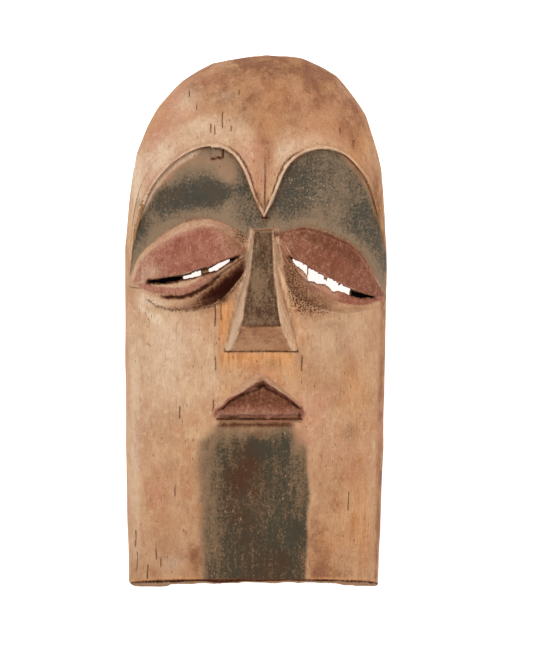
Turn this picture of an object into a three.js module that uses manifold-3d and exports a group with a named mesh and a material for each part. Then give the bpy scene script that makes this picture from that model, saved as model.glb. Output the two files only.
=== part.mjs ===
// A small carved face mask, made from one block of pale wood. It is a long vaulted shell with a round
// crown, hollowed from behind and open at the chin end. All sizes are in millimetres.
// It lies face up on its back rim: +X is to the viewer's right, +Y towards the crown, +Z out of the face.
// The origin is on the plane of the back rim, under the middle of the outline.

import * as THREE from "three";
import { mergeVertices } from "three/addons/utils/BufferGeometryUtils.js";
import Module from "manifold-3d";

const wasm = await Module();
wasm.setup();

// Outline, seen from the front
const CROWN_Y = 110;
const CHIN_Y = -110;
const SPRING_Y = 30; // the straight sides end here and the arch of the crown begins
const HALF_WIDTH = 54.15; // at the eyes
const LEFT_TAPER = 1.6; // how much each half narrows down to the chin
const RIGHT_TAPER = 3.5;
const ARCH_POWER = 2.45; // 2 would be an ellipse, more is squarer
const CROWN_SHIFT = 4; // the top of the arch leans this far to the right

// Vault of the face above the back rim
const FACE_RISE = 38;
const FACE_CAMBER = 2.5; // the chin end is this much lower
const VAULT_POWER = 2.6;
const BROW_FLARE = 1.3; // the forehead lifts towards the edge of the brow
const FLARE_REACH = 9;
const FIELD_DEPTH = 1.1; // the ground round the nose and mouth is cut this much lower

// Hollow behind
const HOLLOW_RISE = 27;
const HOLLOW_POWER = 2.2;
const RIM_WIDTH = 9.5;
const CROWN_RIM_WIDTH = 13;
const LEFT_FOOT_EXTRA = 6.5; // the left wall thickens this much at the chin end
const END_SLOPE = 0.068; // the chin end leans in towards the face, in mm for each mm of height

// Fineness of the faceted surfaces
const VAULT_COLUMNS = 34;
const VAULT_ROWS = 42;
const HOLLOW_COLUMNS = 20;
const HOLLOW_ROWS = 24;
const EYE_COLUMNS = 26;
const MOUTH_COLUMNS = 22;

const ABOVE_ALL = 70;
const BELOW_ALL = -6;
const ROOT_LEVEL = 8; // added carving reaches down to here, inside the block
const CUTTER_REACH = 150;
const LEAST_GAP = 0.12; // between two carved lines that nearly meet

const clamp = (v, low = 0, high = 1) => Math.min(high, Math.max(low, v));
const mix = (a, b, t) => a + (b - a) * t;
const smooth = (t) => clamp(t) ** 2 * (3 - 2 * clamp(t));
const steps = (n) => Array.from({ length: n + 1 }, (_, i) => i / n);

// The stretch of a line of points that holds x, and how far along it x is.
function stretch(points, x) {
  const held = clamp(x, points[0][0], points.at(-1)[0]);
  const i = Math.max(1, points.findIndex((p) => p[0] >= held));
  return [i - 1, (held - points[i - 1][0]) / (points[i][0] - points[i - 1][0])];
}

// An edge y(x) that runs smoothly through a few points, from left to right.
function edge(...points) {
  const slopes = points.map((p, i) => {
    const before = points[Math.max(0, i - 1)];
    const after = points[Math.min(points.length - 1, i + 1)];
    return (after[1] - before[1]) / (after[0] - before[0]);
  });
  return (x) => {
    const [i, t] = stretch(points, x);
    const [[x0, y0], [x1, y1]] = [points[i], points[i + 1]];
    const straight = mix(y0, y1, t);
    const [lift, fall] = [slopes[i] * (x1 - x0) - (y1 - y0), slopes[i + 1] * (x1 - x0) - (y1 - y0)];
    return straight + t * (1 - t) * (lift * (1 - t) - fall * t);
  };
}

// An edge that was cut with a straight blade from point to point.
function bladeEdge(...points) {
  return (x) => {
    const [i, t] = stretch(points, x);
    return mix(points[i][1], points[i + 1][1], t);
  };
}

// Edges of the carving round each eye, from the brow down to the cheek. The two eyes meet on a line
// between the point of the brow and the root of the nose, and share its points.
const NOSE_LINE_X = 3.3;
const meeting = { brow: 42, lidTop: 32, slitTop: 31, slitBottom: 30.6, lidBottom: 30.2, cheek: 28 };
const onNoseLine = (name) => [NOSE_LINE_X, meeting[name]];
const leftEye = {
  from: -51.9,
  to: NOSE_LINE_X,
  brow: edge([-51.9, 19.3], [-50.6, 31.5], [-47.7, 45], [-40.3, 58.2], [-29.8, 67.6], [-19.3, 71.3],
    [-11.5, 69.5], [-5.6, 62.4], [-0.3, 49.2], onNoseLine("brow")),
  lidTop: edge([-51.9, 17], [-48.2, 25.5], [-42.9, 31.3], [-32.4, 38.4], [-20, 41.4], [-8.7, 37.1],
    [-3.5, 33], onNoseLine("lidTop")),
  slitTop: edge([-51.9, 15.4], [-46.1, 16.1], [-31.3, 18.6], [-16.1, 23.1], [-7.7, 26.4],
    onNoseLine("slitTop")),
  slitBottom: edge([-51.9, 15.1], [-46.1, 15.5], [-31, 16.5], [-16.1, 20.9], [-7.7, 26],
    onNoseLine("slitBottom")),
  lidBottom: edge([-51.9, 14.7], [-47.8, 13.2], [-42.9, 10.9], [-35.1, 10], [-27.2, 10.8], [-16.6, 17.1],
    [-5.6, 25.2], onNoseLine("lidBottom")),
  cheek: edge([-51.9, 14], [-48.2, 10.8], [-42.9, 7.1], [-36.6, 4.7], [-29.8, 4.8], [-22.4, 6.1],
    [-11.4, 12.4], [-6.1, 18.2], onNoseLine("cheek")),
  slitFrom: -46.1,
  slitTo: -7.7,
  openFrom: -31.5, // the stretch where the slit goes right through
  openTo: -10.4,
};
const rightEye = {
  from: NOSE_LINE_X,
  to: 53.4,
  brow: edge(onNoseLine("brow"), [7, 49.4], [12.2, 61.6], [17.5, 67.2], [24.9, 70.2], [32, 69.7],
    [39.1, 65.8], [46.4, 56.1], [51.1, 42.9], [53, 29], [53.4, 18.2]),
  lidTop: edge(onNoseLine("lidTop"), [9.6, 35.6], [20.1, 38.2], [31.2, 35.3], [41.2, 29.8], [46.4, 22.9],
    [51.2, 14], [53.4, 10.4]),
  slitTop: edge(onNoseLine("slitTop"), [9.6, 33.6], [14.6, 26], [21.7, 21.7], [31.7, 16.7], [43.8, 11.3],
    [48.7, 10], [53.4, 9.7]),
  slitBottom: edge(onNoseLine("slitBottom"), [9.6, 32.6], [14.6, 25.5], [21.2, 18.6], [29.1, 13.7],
    [36, 10.8], [43.3, 9.7], [48.7, 9.5], [53.4, 9.4]),
  lidBottom: edge(onNoseLine("lidBottom"), [9.6, 30.5], [13.5, 24], [20.2, 15.6], [29.1, 9.8], [36, 7.2],
    [44.9, 6.6], [50, 8.2], [53.4, 9]),
  cheek: edge(onNoseLine("cheek"), [9.6, 21.5], [14, 11.9], [20.2, 6.9], [29.1, 4], [37, 2.8],
    [44.9, 4], [49.1, 5.5], [53.4, 8.6]),
  slitFrom: 13.9,
  slitTo: 48.7,
  openFrom: 15,
  openTo: 39.8,
};

// Depths below the face and heights above it, at the middle of each eye
const SOCKET_DEPTH = 3.3;
const LID_BULGE = 4.3; // upper lid, above the floor of the socket
const LOWER_LID_BULGE = 2.2;
const UNDER_EYE_DEPTH = 3.2;
const INNER_CORNER_DEPTH = 2; // deeper still beside the nose
const SLIT_DEPTH = 7; // where the slit stays blind
const LID_TRIM = 0.15; // the slit is cut this far into both lids

// Scoop behind each eye, which thins the wall so that the slit can go through
const EYE_WALL = 7.5;
const SCOOP_MARGIN = 5; // beyond each end of the open slit
const SCOOP_HALF_HEIGHT = 10;
const SCOOP_CENTRE_Z = 10;

// Nose: a wedge with a flat ridge that rises and widens down to its tip
const NOSE_TOP_Y = 37.4;
const NOSE_TIP_Y = -2.8;
const NOSE_FOOT_Y = -12.6;
const NOSE_TIP_RISE = 8.6;
const NOSE_TOP_RISE = -1.2; // still below the face here, but above the floor of the sockets
const ridgeLeft = edge([NOSE_FOOT_Y, -9.4], [NOSE_TIP_Y, -6.8], [10.3, -4.2], [20.2, -2.6], [NOSE_TOP_Y, -1]);
const ridgeRight = edge([NOSE_FOOT_Y, 11.4], [NOSE_TIP_Y, 9.6], [10.3, 8.4], [20.2, 7.7], [NOSE_TOP_Y, 6.9]);
const noseFootLeft = (y) => mix(-12.7, -2.2, (y - NOSE_FOOT_Y) / (NOSE_TOP_Y - NOSE_FOOT_Y));
const noseFootRight = (y) => mix(16.6, 9.6, (y - NOSE_FOOT_Y) / (NOSE_TOP_Y - NOSE_FOOT_Y));

// Mouth: a gabled upper lip over a low lower lip
const MOUTH_LEFT = -16.9;
const MOUTH_RIGHT = 19.4;
const mouth = {
  outer: bladeEdge([MOUTH_LEFT, -34.4], [0.4, -21.4], [3.2, -21.4], [MOUTH_RIGHT, -34.8]),
  crest: bladeEdge([MOUTH_LEFT, -36.6], [-14.7, -35.2], [-6.6, -29.6], [0, -25], [3.3, -25],
    [11.5, -29.9], [18.2, -36], [MOUTH_RIGHT, -37.4]),
  fold: bladeEdge([MOUTH_LEFT, -37.4], [-14, -36.4], [-6.6, -31], [0, -28.2], [4.8, -29.4],
    [15.1, -35.2], [MOUTH_RIGHT, -38]),
};
const LOWER_LIP_Y = -37.8;
const GROOVE_Y = -40.2;
const CHIN_EDGE_Y = -41.7;
const UPPER_LIP_RISE = 3.4;
const FOLD_DEPTH = 0.9;
const LOWER_LIP_RISE = 2.2;
const GROOVE_DEPTH = 1.8;

// Ground cut lower between the cheeks, sharp on the left and fading out on the right
const FIELD_LEFT = -16.1;
const FIELD_RIGHT = 19.6;
const FIELD_TOP = 24;

// Shape of the shell
const crownLean = (y) => CROWN_SHIFT * clamp((y - SPRING_Y) / (CROWN_Y - SPRING_Y)) ** 3;
function halfWidth(side, y) {
  const down = clamp((SPRING_Y - y) / (SPRING_Y - CHIN_Y));
  return HALF_WIDTH - (side < 0 ? LEFT_TAPER * down ** 3 : RIGHT_TAPER * down ** 1.7);
}

// How far out a point lies: 0 on the centre line and 1 on the outline, drawn in by the wall's width.
function reach(x, y, sideWall = () => 0, crownWall = 0) {
  const off = x - crownLean(y);
  const across = Math.abs(off) / (halfWidth(off, y) - sideWall(off, y));
  const up = Math.max(0, (y - SPRING_Y) / (CROWN_Y - crownWall - SPRING_Y));
  return (across ** ARCH_POWER + up ** ARCH_POWER) ** (1 / ARCH_POWER);
}
const dome = (r, power) => Math.max(0, 1 - r ** power) ** (1 / power);
const rise = (y) => FACE_RISE - FACE_CAMBER * ((y - SPRING_Y) / (SPRING_Y - CHIN_Y)) ** 2;

const vault = (x, y) => rise(y) * dome(reach(x, y), VAULT_POWER);
function fieldCut(x) {
  return x < FIELD_LEFT ? 0 : FIELD_DEPTH * smooth((FIELD_RIGHT - x) / 5);
}
const ground = (x, y) => vault(x, y) - fieldCut(x);

// A closed solid from a three.js geometry, and back
function solidOf(geometry) {
  const plain = geometry.index ? geometry.toNonIndexed() : geometry;
  const bare = new THREE.BufferGeometry().setAttribute("position", plain.getAttribute("position"));
  const merged = mergeVertices(bare, 1e-4);
  const vertProperties = merged.attributes.position.array;
  const triVerts = new Uint32Array(merged.index.array);
  return new wasm.Manifold(new wasm.Mesh({ numProp: 3, vertProperties, triVerts }));
}
function geometryOf(solid) {
  const { vertProperties, triVerts } = solid.getMesh();
  const geometry = new THREE.BufferGeometry();
  geometry.setAttribute("position", new THREE.BufferAttribute(new Float32Array(vertProperties), 3));
  geometry.setIndex(new THREE.BufferAttribute(new Uint32Array(triVerts), 1));
  const faceted = geometry.toNonIndexed();
  faceted.computeVertexNormals();
  return faceted;
}

// The closed solid between a sheet, given as rows of points, and a flat level under or over it.
function block(rows, level) {
  const across = rows[0].length;
  const sheet = rows.flat();
  const flat = sheet.map(([x, y]) => [x, y, level]);
  const faces = [];
  const quad = (a, b, c, d) => faces.push([a, b, c], [a, c, d]);
  const wall = (a, b) => quad(b, a, a + sheet.length, b + sheet.length);
  for (let i = 0; i + 1 < rows.length; i++) {
    for (let j = 0; j + 1 < across; j++) {
      const [a, d] = [i * across + j, (i + 1) * across + j];
      quad(a, a + 1, d + 1, d);
      quad(sheet.length + a, sheet.length + d, sheet.length + d + 1, sheet.length + a + 1);
    }
    wall((i + 1) * across, i * across);
    wall((i + 1) * across - 1, (i + 2) * across - 1);
  }
  for (let j = 0; j + 1 < across; j++) {
    wall(j, j + 1);
    wall((rows.length - 1) * across + j + 1, (rows.length - 1) * across + j);
  }
  const points = [...sheet, ...flat];
  const volume = faces.reduce((sum, f) => {
    const [a, b, c] = f.map((k) => new THREE.Vector3(...points[k]));
    return sum + a.dot(b.cross(c));
  }, 0);
  const outward = volume > 0 ? faces : faces.map(([a, b, c]) => [a, c, b]);
  const geometry = new THREE.BufferGeometry();
  geometry.setAttribute("position", new THREE.Float32BufferAttribute(points.flat(), 3));
  geometry.setIndex(outward.flat());
  return solidOf(geometry);
}

// The domed sheet inside an outline, as rows that bow up to the arch of the crown.
function domeRows(columns, rows, sideWall, crownWall, start, height) {
  const top = CROWN_Y - crownWall;
  return steps(rows).map((t) => {
    const along = Math.sin((t * Math.PI) / 2);
    const [sideY, middleY] = [mix(start, SPRING_Y, along), mix(start, top, along)];
    return steps(columns).map((u) => {
      const g = Math.sin((u - 0.5) * Math.PI);
      const y = sideY + (middleY - sideY) * Math.max(0, 1 - Math.abs(g) ** ARCH_POWER) ** (1 / ARCH_POWER);
      const x = crownLean(y) + g * (halfWidth(g, y) - sideWall(g, y));
      return [x, y, height(x, y)];
    });
  });
}

function outerShell() {
  return block(domeRows(VAULT_COLUMNS, VAULT_ROWS, () => 0, 0, CHIN_Y - 3, vault), BELOW_ALL);
}

function hollow() {
  const wall = (side, y) => RIM_WIDTH + (side < 0 ? LEFT_FOOT_EXTRA * smooth((-60 - y) / 50) : 0);
  const share = HOLLOW_RISE / FACE_RISE;
  const ceiling = (x, y) => share * rise(y) * dome(reach(x, y, wall, CROWN_RIM_WIDTH), HOLLOW_POWER);
  const rows = domeRows(HOLLOW_COLUMNS, HOLLOW_ROWS, wall, CROWN_RIM_WIDTH, CHIN_Y - 8, ceiling);
  return block(rows, BELOW_ALL - 2);
}

function scoop(eye) {
  const [x0, x1] = [eye.openFrom - SCOOP_MARGIN, eye.openTo + SCOOP_MARGIN];
  const middle = (x0 + x1) / 2;
  const y = (eye.slitTop(middle) + eye.slitBottom(middle)) / 2;
  const lean = Math.atan2(eye.slitTop(x1) - eye.slitTop(x0), x1 - x0);
  const ball = new THREE.SphereGeometry(1, 20, 12);
  ball.scale((x1 - x0) / 2, SCOOP_HALF_HEIGHT, vault(middle, y) - EYE_WALL - SCOOP_CENTRE_Z);
  ball.rotateZ(lean).translate(middle, y, SCOOP_CENTRE_Z);
  return solidOf(ball);
}

// The lines of one eye's carving from above the brow down to the cheek, at a given x. Each is
// [y, height above the vault].
function eyeLines(eye, x) {
  const u = (x - eye.from) / (eye.to - eye.from);
  const inward = eye === leftEye ? u : 1 - u; // 0 at the temple, 1 at the nose
  const bowl = mix(0.15, 1, smooth(inward * 4));
  const lidSpan = clamp((x - eye.slitFrom + 3) / (eye.slitTo - eye.slitFrom + 6));
  const swell = Math.sqrt(4 * lidSpan * (1 - lidSpan));
  const [brow, lidTop, slitTop] = [eye.brow(x), eye.lidTop(x), eye.slitTop(x)];
  const [slitBottom, lidBottom, cheek] = [eye.slitBottom(x), eye.lidBottom(x), eye.cheek(x)];
  const floor = -SOCKET_DEPTH * bowl;
  const lid = floor * 0.85;
  const hollowed = -(UNDER_EYE_DEPTH + INNER_CORNER_DEPTH * smooth(inward * 2 - 0.7)) * bowl;
  const lines = [
    [brow + FLARE_REACH, -0.1], // where the forehead begins to lift
    [brow + FLARE_REACH * 0.35, BROW_FLARE * 0.55 * bowl],
    [brow, BROW_FLARE * bowl], // the brow's edge, and the step down from it
    [brow - LEAST_GAP, floor * 0.95],
    [mix(brow, lidTop, 0.35), floor * 1.08], // floor of the socket
    [mix(brow, lidTop, 0.75), floor],
    [lidTop, lid], // crease above the upper lid
    [mix(lidTop, slitTop, 0.1), lid + LID_BULGE * 0.42 * swell],
    [mix(lidTop, slitTop, 0.35), lid + LID_BULGE * 0.8 * swell],
    [mix(lidTop, slitTop, 0.7), lid + LID_BULGE * 0.98 * swell],
    [slitTop, lid + LID_BULGE * swell], // the lids' edges along the slit
    [slitBottom, floor + LOWER_LID_BULGE * swell],
    [mix(slitBottom, lidBottom, 0.5), floor + LOWER_LID_BULGE * 0.9 * swell],
    [lidBottom, hollowed * 0.8], // hollow under the eye
    [mix(lidBottom, cheek, 0.5), hollowed],
    [cheek, -fieldCut(x)], // up to the cheek
  ];
  for (let k = 1; k < lines.length; k++) {
    lines[k][0] = Math.min(lines[k][0], lines[k - 1][0] - LEAST_GAP);
  }
  return lines;
}

// Columns of carving over a stretch of x, turned into the rows that block() takes
function carvedRows(from, to, columns, linesAt) {
  const all = steps(columns).map((u) => {
    const x = mix(from, to, u);
    return linesAt(x).map(([y, height]) => [x, y, vault(x, y) + height]);
  });
  return all[0].map((_, k) => all.map((column) => column[k]));
}
const carve = (solid, rows) => solid.subtract(block(rows, ABOVE_ALL)).add(block(rows, ROOT_LEVEL));

function slit(eye) {
  const parts = [
    [eye.slitFrom, eye.openFrom - 0.5, 5],
    [eye.openFrom, eye.openTo, 9],
    [eye.openTo + 0.5, eye.slitTo, 4],
  ];
  const columns = parts.flatMap(([from, to, n]) => steps(n).map((u) => mix(from, to, u)));
  const isOpen = (x) => x >= eye.openFrom && x <= eye.openTo;
  const floor = (x, y) => (isOpen(x) ? BELOW_ALL : vault(x, y) - SLIT_DEPTH);
  const rowAlong = (line) => columns.map((x) => [x, line(x), floor(x, line(x))]);
  const lower = rowAlong((x) => Math.min(eye.slitBottom(x), eye.slitTop(x)) - LID_TRIM);
  return block([lower, rowAlong((x) => eye.slitTop(x) + LID_TRIM)], ABOVE_ALL);
}

function nose() {
  const rows = [NOSE_FOOT_Y, NOSE_TIP_Y, 6, 15, 26, NOSE_TOP_Y].map((y) => {
    const atFoot = y === NOSE_FOOT_Y;
    const up = clamp((y - NOSE_TIP_Y) / (NOSE_TOP_Y - NOSE_TIP_Y));
    const ridge = vault(0, y) + (atFoot ? -FIELD_DEPTH : mix(NOSE_TIP_RISE, NOSE_TOP_RISE, up));
    const sunk = atFoot ? 0 : mix(0.4, SOCKET_DEPTH + INNER_CORNER_DEPTH, smooth(up * 2));
    const foot = (x) => [x, y, Math.min(ridge, ground(x, y) - sunk)];
    const [left, right] = [ridgeLeft(y), ridgeRight(y)];
    return [foot(noseFootLeft(y)), [left, y, ridge], [right, y, ridge], foot(noseFootRight(y))];
  });
  return block(rows, ROOT_LEVEL);
}

function mouthLines(x) {
  const ends = smooth((x - MOUTH_LEFT) / 2.2) * smooth((MOUTH_RIGHT - x) / 1.6);
  const middle = 1 - Math.abs(x - 1.5) / 18;
  const lip = mix(0.62, 1, middle) * ends;
  const low = -fieldCut(x);
  return [
    [mouth.outer(x), low],
    [mouth.crest(x), low + UPPER_LIP_RISE * lip],
    [mouth.fold(x), low - FOLD_DEPTH * middle * ends],
    [LOWER_LIP_Y, low + LOWER_LIP_RISE * lip],
    [GROOVE_Y, low - GROOVE_DEPTH * ends],
    [CHIN_EDGE_Y, -0.1],
  ];
}

function carvedMask() {
  const fieldRows = steps(10).map((v) =>
    steps(8).map((u) => {
      const [x, y] = [mix(FIELD_LEFT, FIELD_RIGHT, u), mix(CHIN_EDGE_Y, FIELD_TOP, v)];
      return [x, y, ground(x, y)];
    }),
  );
  let wood = outerShell().subtract(block(fieldRows, ABOVE_ALL));
  const [leftRows, rightRows] = [leftEye, rightEye].map((eye) =>
    carvedRows(eye.from, eye.to, EYE_COLUMNS, (x) => eyeLines(eye, x)),
  );
  wood = carve(wood, leftRows.map((row, k) => [...row, ...rightRows[k].slice(1)]));
  wood = wood.add(nose());
  wood = carve(wood, carvedRows(MOUTH_LEFT, MOUTH_RIGHT, MOUTH_COLUMNS, mouthLines));

  wood = wood.subtract(hollow());
  for (const eye of [leftEye, rightEye]) {
    wood = wood.subtract(scoop(eye)).subtract(slit(eye));
  }

  const across = 2 * CUTTER_REACH;
  const chinEnd = new THREE.BoxGeometry(across, CUTTER_REACH, across).translate(0, -CUTTER_REACH / 2, 0);
  chinEnd.rotateX(-Math.atan(END_SLOPE)).translate(0, CHIN_Y, 0);
  const under = new THREE.BoxGeometry(across, across, CUTTER_REACH).translate(0, 0, -CUTTER_REACH / 2);
  return wood.subtract(solidOf(chinEnd)).subtract(solidOf(under));
}

const paintedWood = new THREE.MeshStandardMaterial({ color: 0xc79f7b, roughness: 0.8, metalness: 0 });
const mask = new THREE.Mesh(geometryOf(carvedMask()), paintedWood);
mask.name = "mask";

const part = new THREE.Group();
part.add(mask);
export default part;
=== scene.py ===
import math

import bmesh
import bpy
import numpy as np
from mathutils import Matrix, Vector


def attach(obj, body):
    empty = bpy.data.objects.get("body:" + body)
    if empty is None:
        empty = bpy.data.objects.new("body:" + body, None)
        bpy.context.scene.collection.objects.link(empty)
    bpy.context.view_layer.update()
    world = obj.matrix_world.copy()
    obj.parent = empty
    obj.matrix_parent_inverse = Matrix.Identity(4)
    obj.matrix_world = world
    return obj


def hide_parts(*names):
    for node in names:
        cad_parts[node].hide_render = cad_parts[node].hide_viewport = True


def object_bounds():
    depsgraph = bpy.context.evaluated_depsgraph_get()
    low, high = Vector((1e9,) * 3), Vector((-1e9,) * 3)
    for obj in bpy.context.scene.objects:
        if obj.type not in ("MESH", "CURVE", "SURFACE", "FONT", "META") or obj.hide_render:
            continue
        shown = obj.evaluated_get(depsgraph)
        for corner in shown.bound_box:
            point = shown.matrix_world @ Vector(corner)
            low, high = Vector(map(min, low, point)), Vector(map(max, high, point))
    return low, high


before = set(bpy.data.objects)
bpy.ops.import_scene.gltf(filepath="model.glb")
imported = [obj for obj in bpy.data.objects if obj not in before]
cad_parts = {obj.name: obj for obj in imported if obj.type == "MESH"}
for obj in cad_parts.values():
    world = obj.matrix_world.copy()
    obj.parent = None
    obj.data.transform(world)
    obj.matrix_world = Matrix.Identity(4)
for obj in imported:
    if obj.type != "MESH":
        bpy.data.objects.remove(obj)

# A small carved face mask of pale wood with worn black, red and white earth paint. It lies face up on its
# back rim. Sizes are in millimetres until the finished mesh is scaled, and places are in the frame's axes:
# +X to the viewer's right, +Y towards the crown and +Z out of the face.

cad_low, cad_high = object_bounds()

MM = 0.001
draw = np.random.default_rng(7)

# Outline and vault, as in the solid
CROWN_Y = cad_high.y / MM
CHIN_Y = cad_low.y / MM
HALF_WIDTH = (cad_high.x - cad_low.x) / 2 / MM
SPRING_Y = 30.0  # the straight sides end here and the arch of the crown begins
LEFT_TAPER = 1.6  # how much each half narrows down to the chin
RIGHT_TAPER = 3.5
ARCH_POWER = 2.45  # 2 would be an ellipse, more is squarer
CROWN_SHIFT = 4.0  # the top of the arch leans this far to the right
FACE_RISE = 38.0
FACE_CAMBER = 2.5  # the chin end is this much lower
VAULT_POWER = 2.6
BROW_FLARE = 1.3  # the forehead lifts towards the edge of the brow
FLARE_REACH = 9.0
FIELD_DEPTH = 1.1

# Hollow behind
HOLLOW_RISE = 27.0
HOLLOW_POWER = 2.2
RIM_WIDTH = 9.5
CROWN_RIM_WIDTH = 13.0
LEFT_FOOT_EXTRA = 6.5  # the left wall thickens this much at the chin end
END_SLOPE = 0.086  # the chin end leans in towards the face, in mm for each mm of height
END_EDGE_ROUND = 0.9  # worn edge between the face and the chin end

# How far apart the points of each worked surface are
SKIN_CELL = 0.86
HOLLOW_CELL = 1.9
CARVED_CELL = 0.5
FIELD_CELL = 0.8

ABOVE_ALL = 70.0
BELOW_ALL = -6.0
ROOT_LEVEL = 8.0  # added carving reaches down to here, inside the block
LEAST_GAP = 0.12  # between two carved lines that nearly meet
CLEAN_MEETING = 0.04  # carved sheets end this much above the skin, so that they meet it in one clean line
SAME_PLACE = 1e-3  # points closer than this are one point


def mix(a, b, t):
    return a + (b - a) * t


def smooth(t):
    t = np.clip(t, 0.0, 1.0)
    return t * t * (3 - 2 * t)


def edge(*points):
    """An edge y(x) that runs smoothly through a few points, from left to right."""
    xs, ys = np.array(points, float).T
    last = len(points) - 1
    before, after = np.maximum(np.arange(last + 1) - 1, 0), np.minimum(np.arange(last + 1) + 1, last)
    slopes = (ys[after] - ys[before]) / (xs[after] - xs[before])

    def line(x):
        held = np.clip(x, xs[0], xs[-1])
        i = np.clip(np.searchsorted(xs, held) - 1, 0, last - 1)
        wide, climb = xs[i + 1] - xs[i], ys[i + 1] - ys[i]
        t = (held - xs[i]) / wide
        lift, fall = slopes[i] * wide - climb, slopes[i + 1] * wide - climb
        return ys[i] + climb * t + t * (1 - t) * (lift * (1 - t) - fall * t)

    return line


def blade_edge(*points):
    """An edge that was cut with a straight blade from point to point."""
    xs, ys = np.array(points, float).T
    return lambda x: np.interp(x, xs, ys)


def below(line, x, y):
    """How far a point lies below an edge, measured square to it."""
    slope = (line(x + 0.2) - line(x - 0.2)) / 0.4
    return (line(x) - y) / np.sqrt(1 + slope**2)


def inside(distance, softness):
    """1 well inside a border and 0 well outside it."""
    return smooth(distance / softness + 0.5)


def least(*distances):
    return np.minimum.reduce(distances)


def most(*amounts):
    return np.maximum.reduce(amounts)


def near(distance, width):
    """1 on a line, falling off softly to both sides of it."""
    return np.exp(-((distance / width) ** 2))


def ovals(x, y, each):
    """The sum of soft ovals, each given as strength, middle x and y, half width, half height and turn."""
    total = np.zeros_like(x)
    for strength, middle_x, middle_y, wide, tall, turn in each:
        c, s = math.cos(math.radians(turn)), math.sin(math.radians(turn))
        along, up = (x - middle_x) * c + (y - middle_y) * s, (y - middle_y) * c - (x - middle_x) * s
        total += strength * np.exp(-((along / wide) ** 2) - (up / tall) ** 2)
    return total


LATTICE = draw.random((32, 32, 32))


def unevenness(places, size):
    """Soft random lumps between -1 and 1, of about the given size along each axis."""
    q = places / np.array(size, float)
    base = np.floor(q).astype(int)
    part = smooth(q - base)
    total = np.zeros(len(places))
    for corner in np.ndindex(2, 2, 2):
        weight = np.prod(np.where(corner, part, 1 - part), axis=1)
        i, j, k = ((base + corner) % 32).T
        total += weight * LATTICE[i, j, k]
    return 2 * total - 1


def dished(x, y, wide, long, row_shift):
    """How far a point is from the middle of the nearest tool cut: 0 there, about 1 on the ridges between."""
    u, v = x / wide, y / long
    nearest = np.full(len(x), 9.0)
    column, row = np.floor(u).astype(int), np.floor(v).astype(int)
    for i, j in np.ndindex(3, 3):
        a, b = column + i - 1, row + j - 1
        shift_x = LATTICE[a % 32, b % 32, row_shift]
        shift_y = LATTICE[a % 32, b % 32, row_shift + 1]
        nearest = np.minimum(nearest, (u - a - shift_x) ** 2 + (v - b - shift_y) ** 2)
    return nearest / 0.6


# Shape of the shell
def crown_lean(y):
    return CROWN_SHIFT * np.clip((y - SPRING_Y) / (CROWN_Y - SPRING_Y), 0, 1) ** 3


def half_width(side, y):
    down = np.clip((SPRING_Y - y) / (SPRING_Y - CHIN_Y), 0, 1)
    return HALF_WIDTH - np.where(side < 0, LEFT_TAPER * down**3, RIGHT_TAPER * down**1.7)


def no_wall(side, y):
    return 0.0


def rim_wall(side, y):
    return RIM_WIDTH + np.where(side < 0, LEFT_FOOT_EXTRA * smooth((-60 - y) / 50), 0)


def reach(x, y, side_wall=no_wall, crown_wall=0.0):
    """How far out a point lies: 0 on the centre line and 1 on the outline, drawn in by the wall."""
    off = x - crown_lean(y)
    across = np.abs(off) / (half_width(off, y) - side_wall(off, y))
    up = np.maximum(0, (y - SPRING_Y) / (CROWN_Y - crown_wall - SPRING_Y))
    return (across**ARCH_POWER + up**ARCH_POWER) ** (1 / ARCH_POWER)


def dome(r, power):
    return np.maximum(0, 1 - np.abs(r) ** power) ** (1 / power)


def rise(y):
    return FACE_RISE - FACE_CAMBER * ((y - SPRING_Y) / (SPRING_Y - CHIN_Y)) ** 2


def vault(x, y):
    return rise(y) * dome(reach(x, y), VAULT_POWER)


def ceiling(x, y):
    share = HOLLOW_RISE / FACE_RISE
    return share * rise(y) * dome(reach(x, y, rim_wall, CROWN_RIM_WIDTH), HOLLOW_POWER)


# Ground cut lower between the cheeks, quickly on the left and fading out on the right
FIELD_LEFT = -16.1
FIELD_RIGHT = 19.6
FIELD_TOP = 24.0
CHIN_EDGE_Y = -41.7


def field_cut(x):
    return FIELD_DEPTH * smooth((x - FIELD_LEFT) / 2.2) * smooth((FIELD_RIGHT - x) / 5)


def ground(x, y):
    return vault(x, y) - field_cut(x)


# Edges of the carving round each eye. The eyes share the points where they meet, under the brow's point
NOSE_LINE_X = 3.3
MEETING = {"brow": 42.0, "lid_top": 32.0, "slit_top": 31.0, "slit_bottom": 30.6, "lid_bottom": 30.2,
           "cheek": 28.0}


def on_nose_line(name):
    return (NOSE_LINE_X, MEETING[name])


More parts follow.
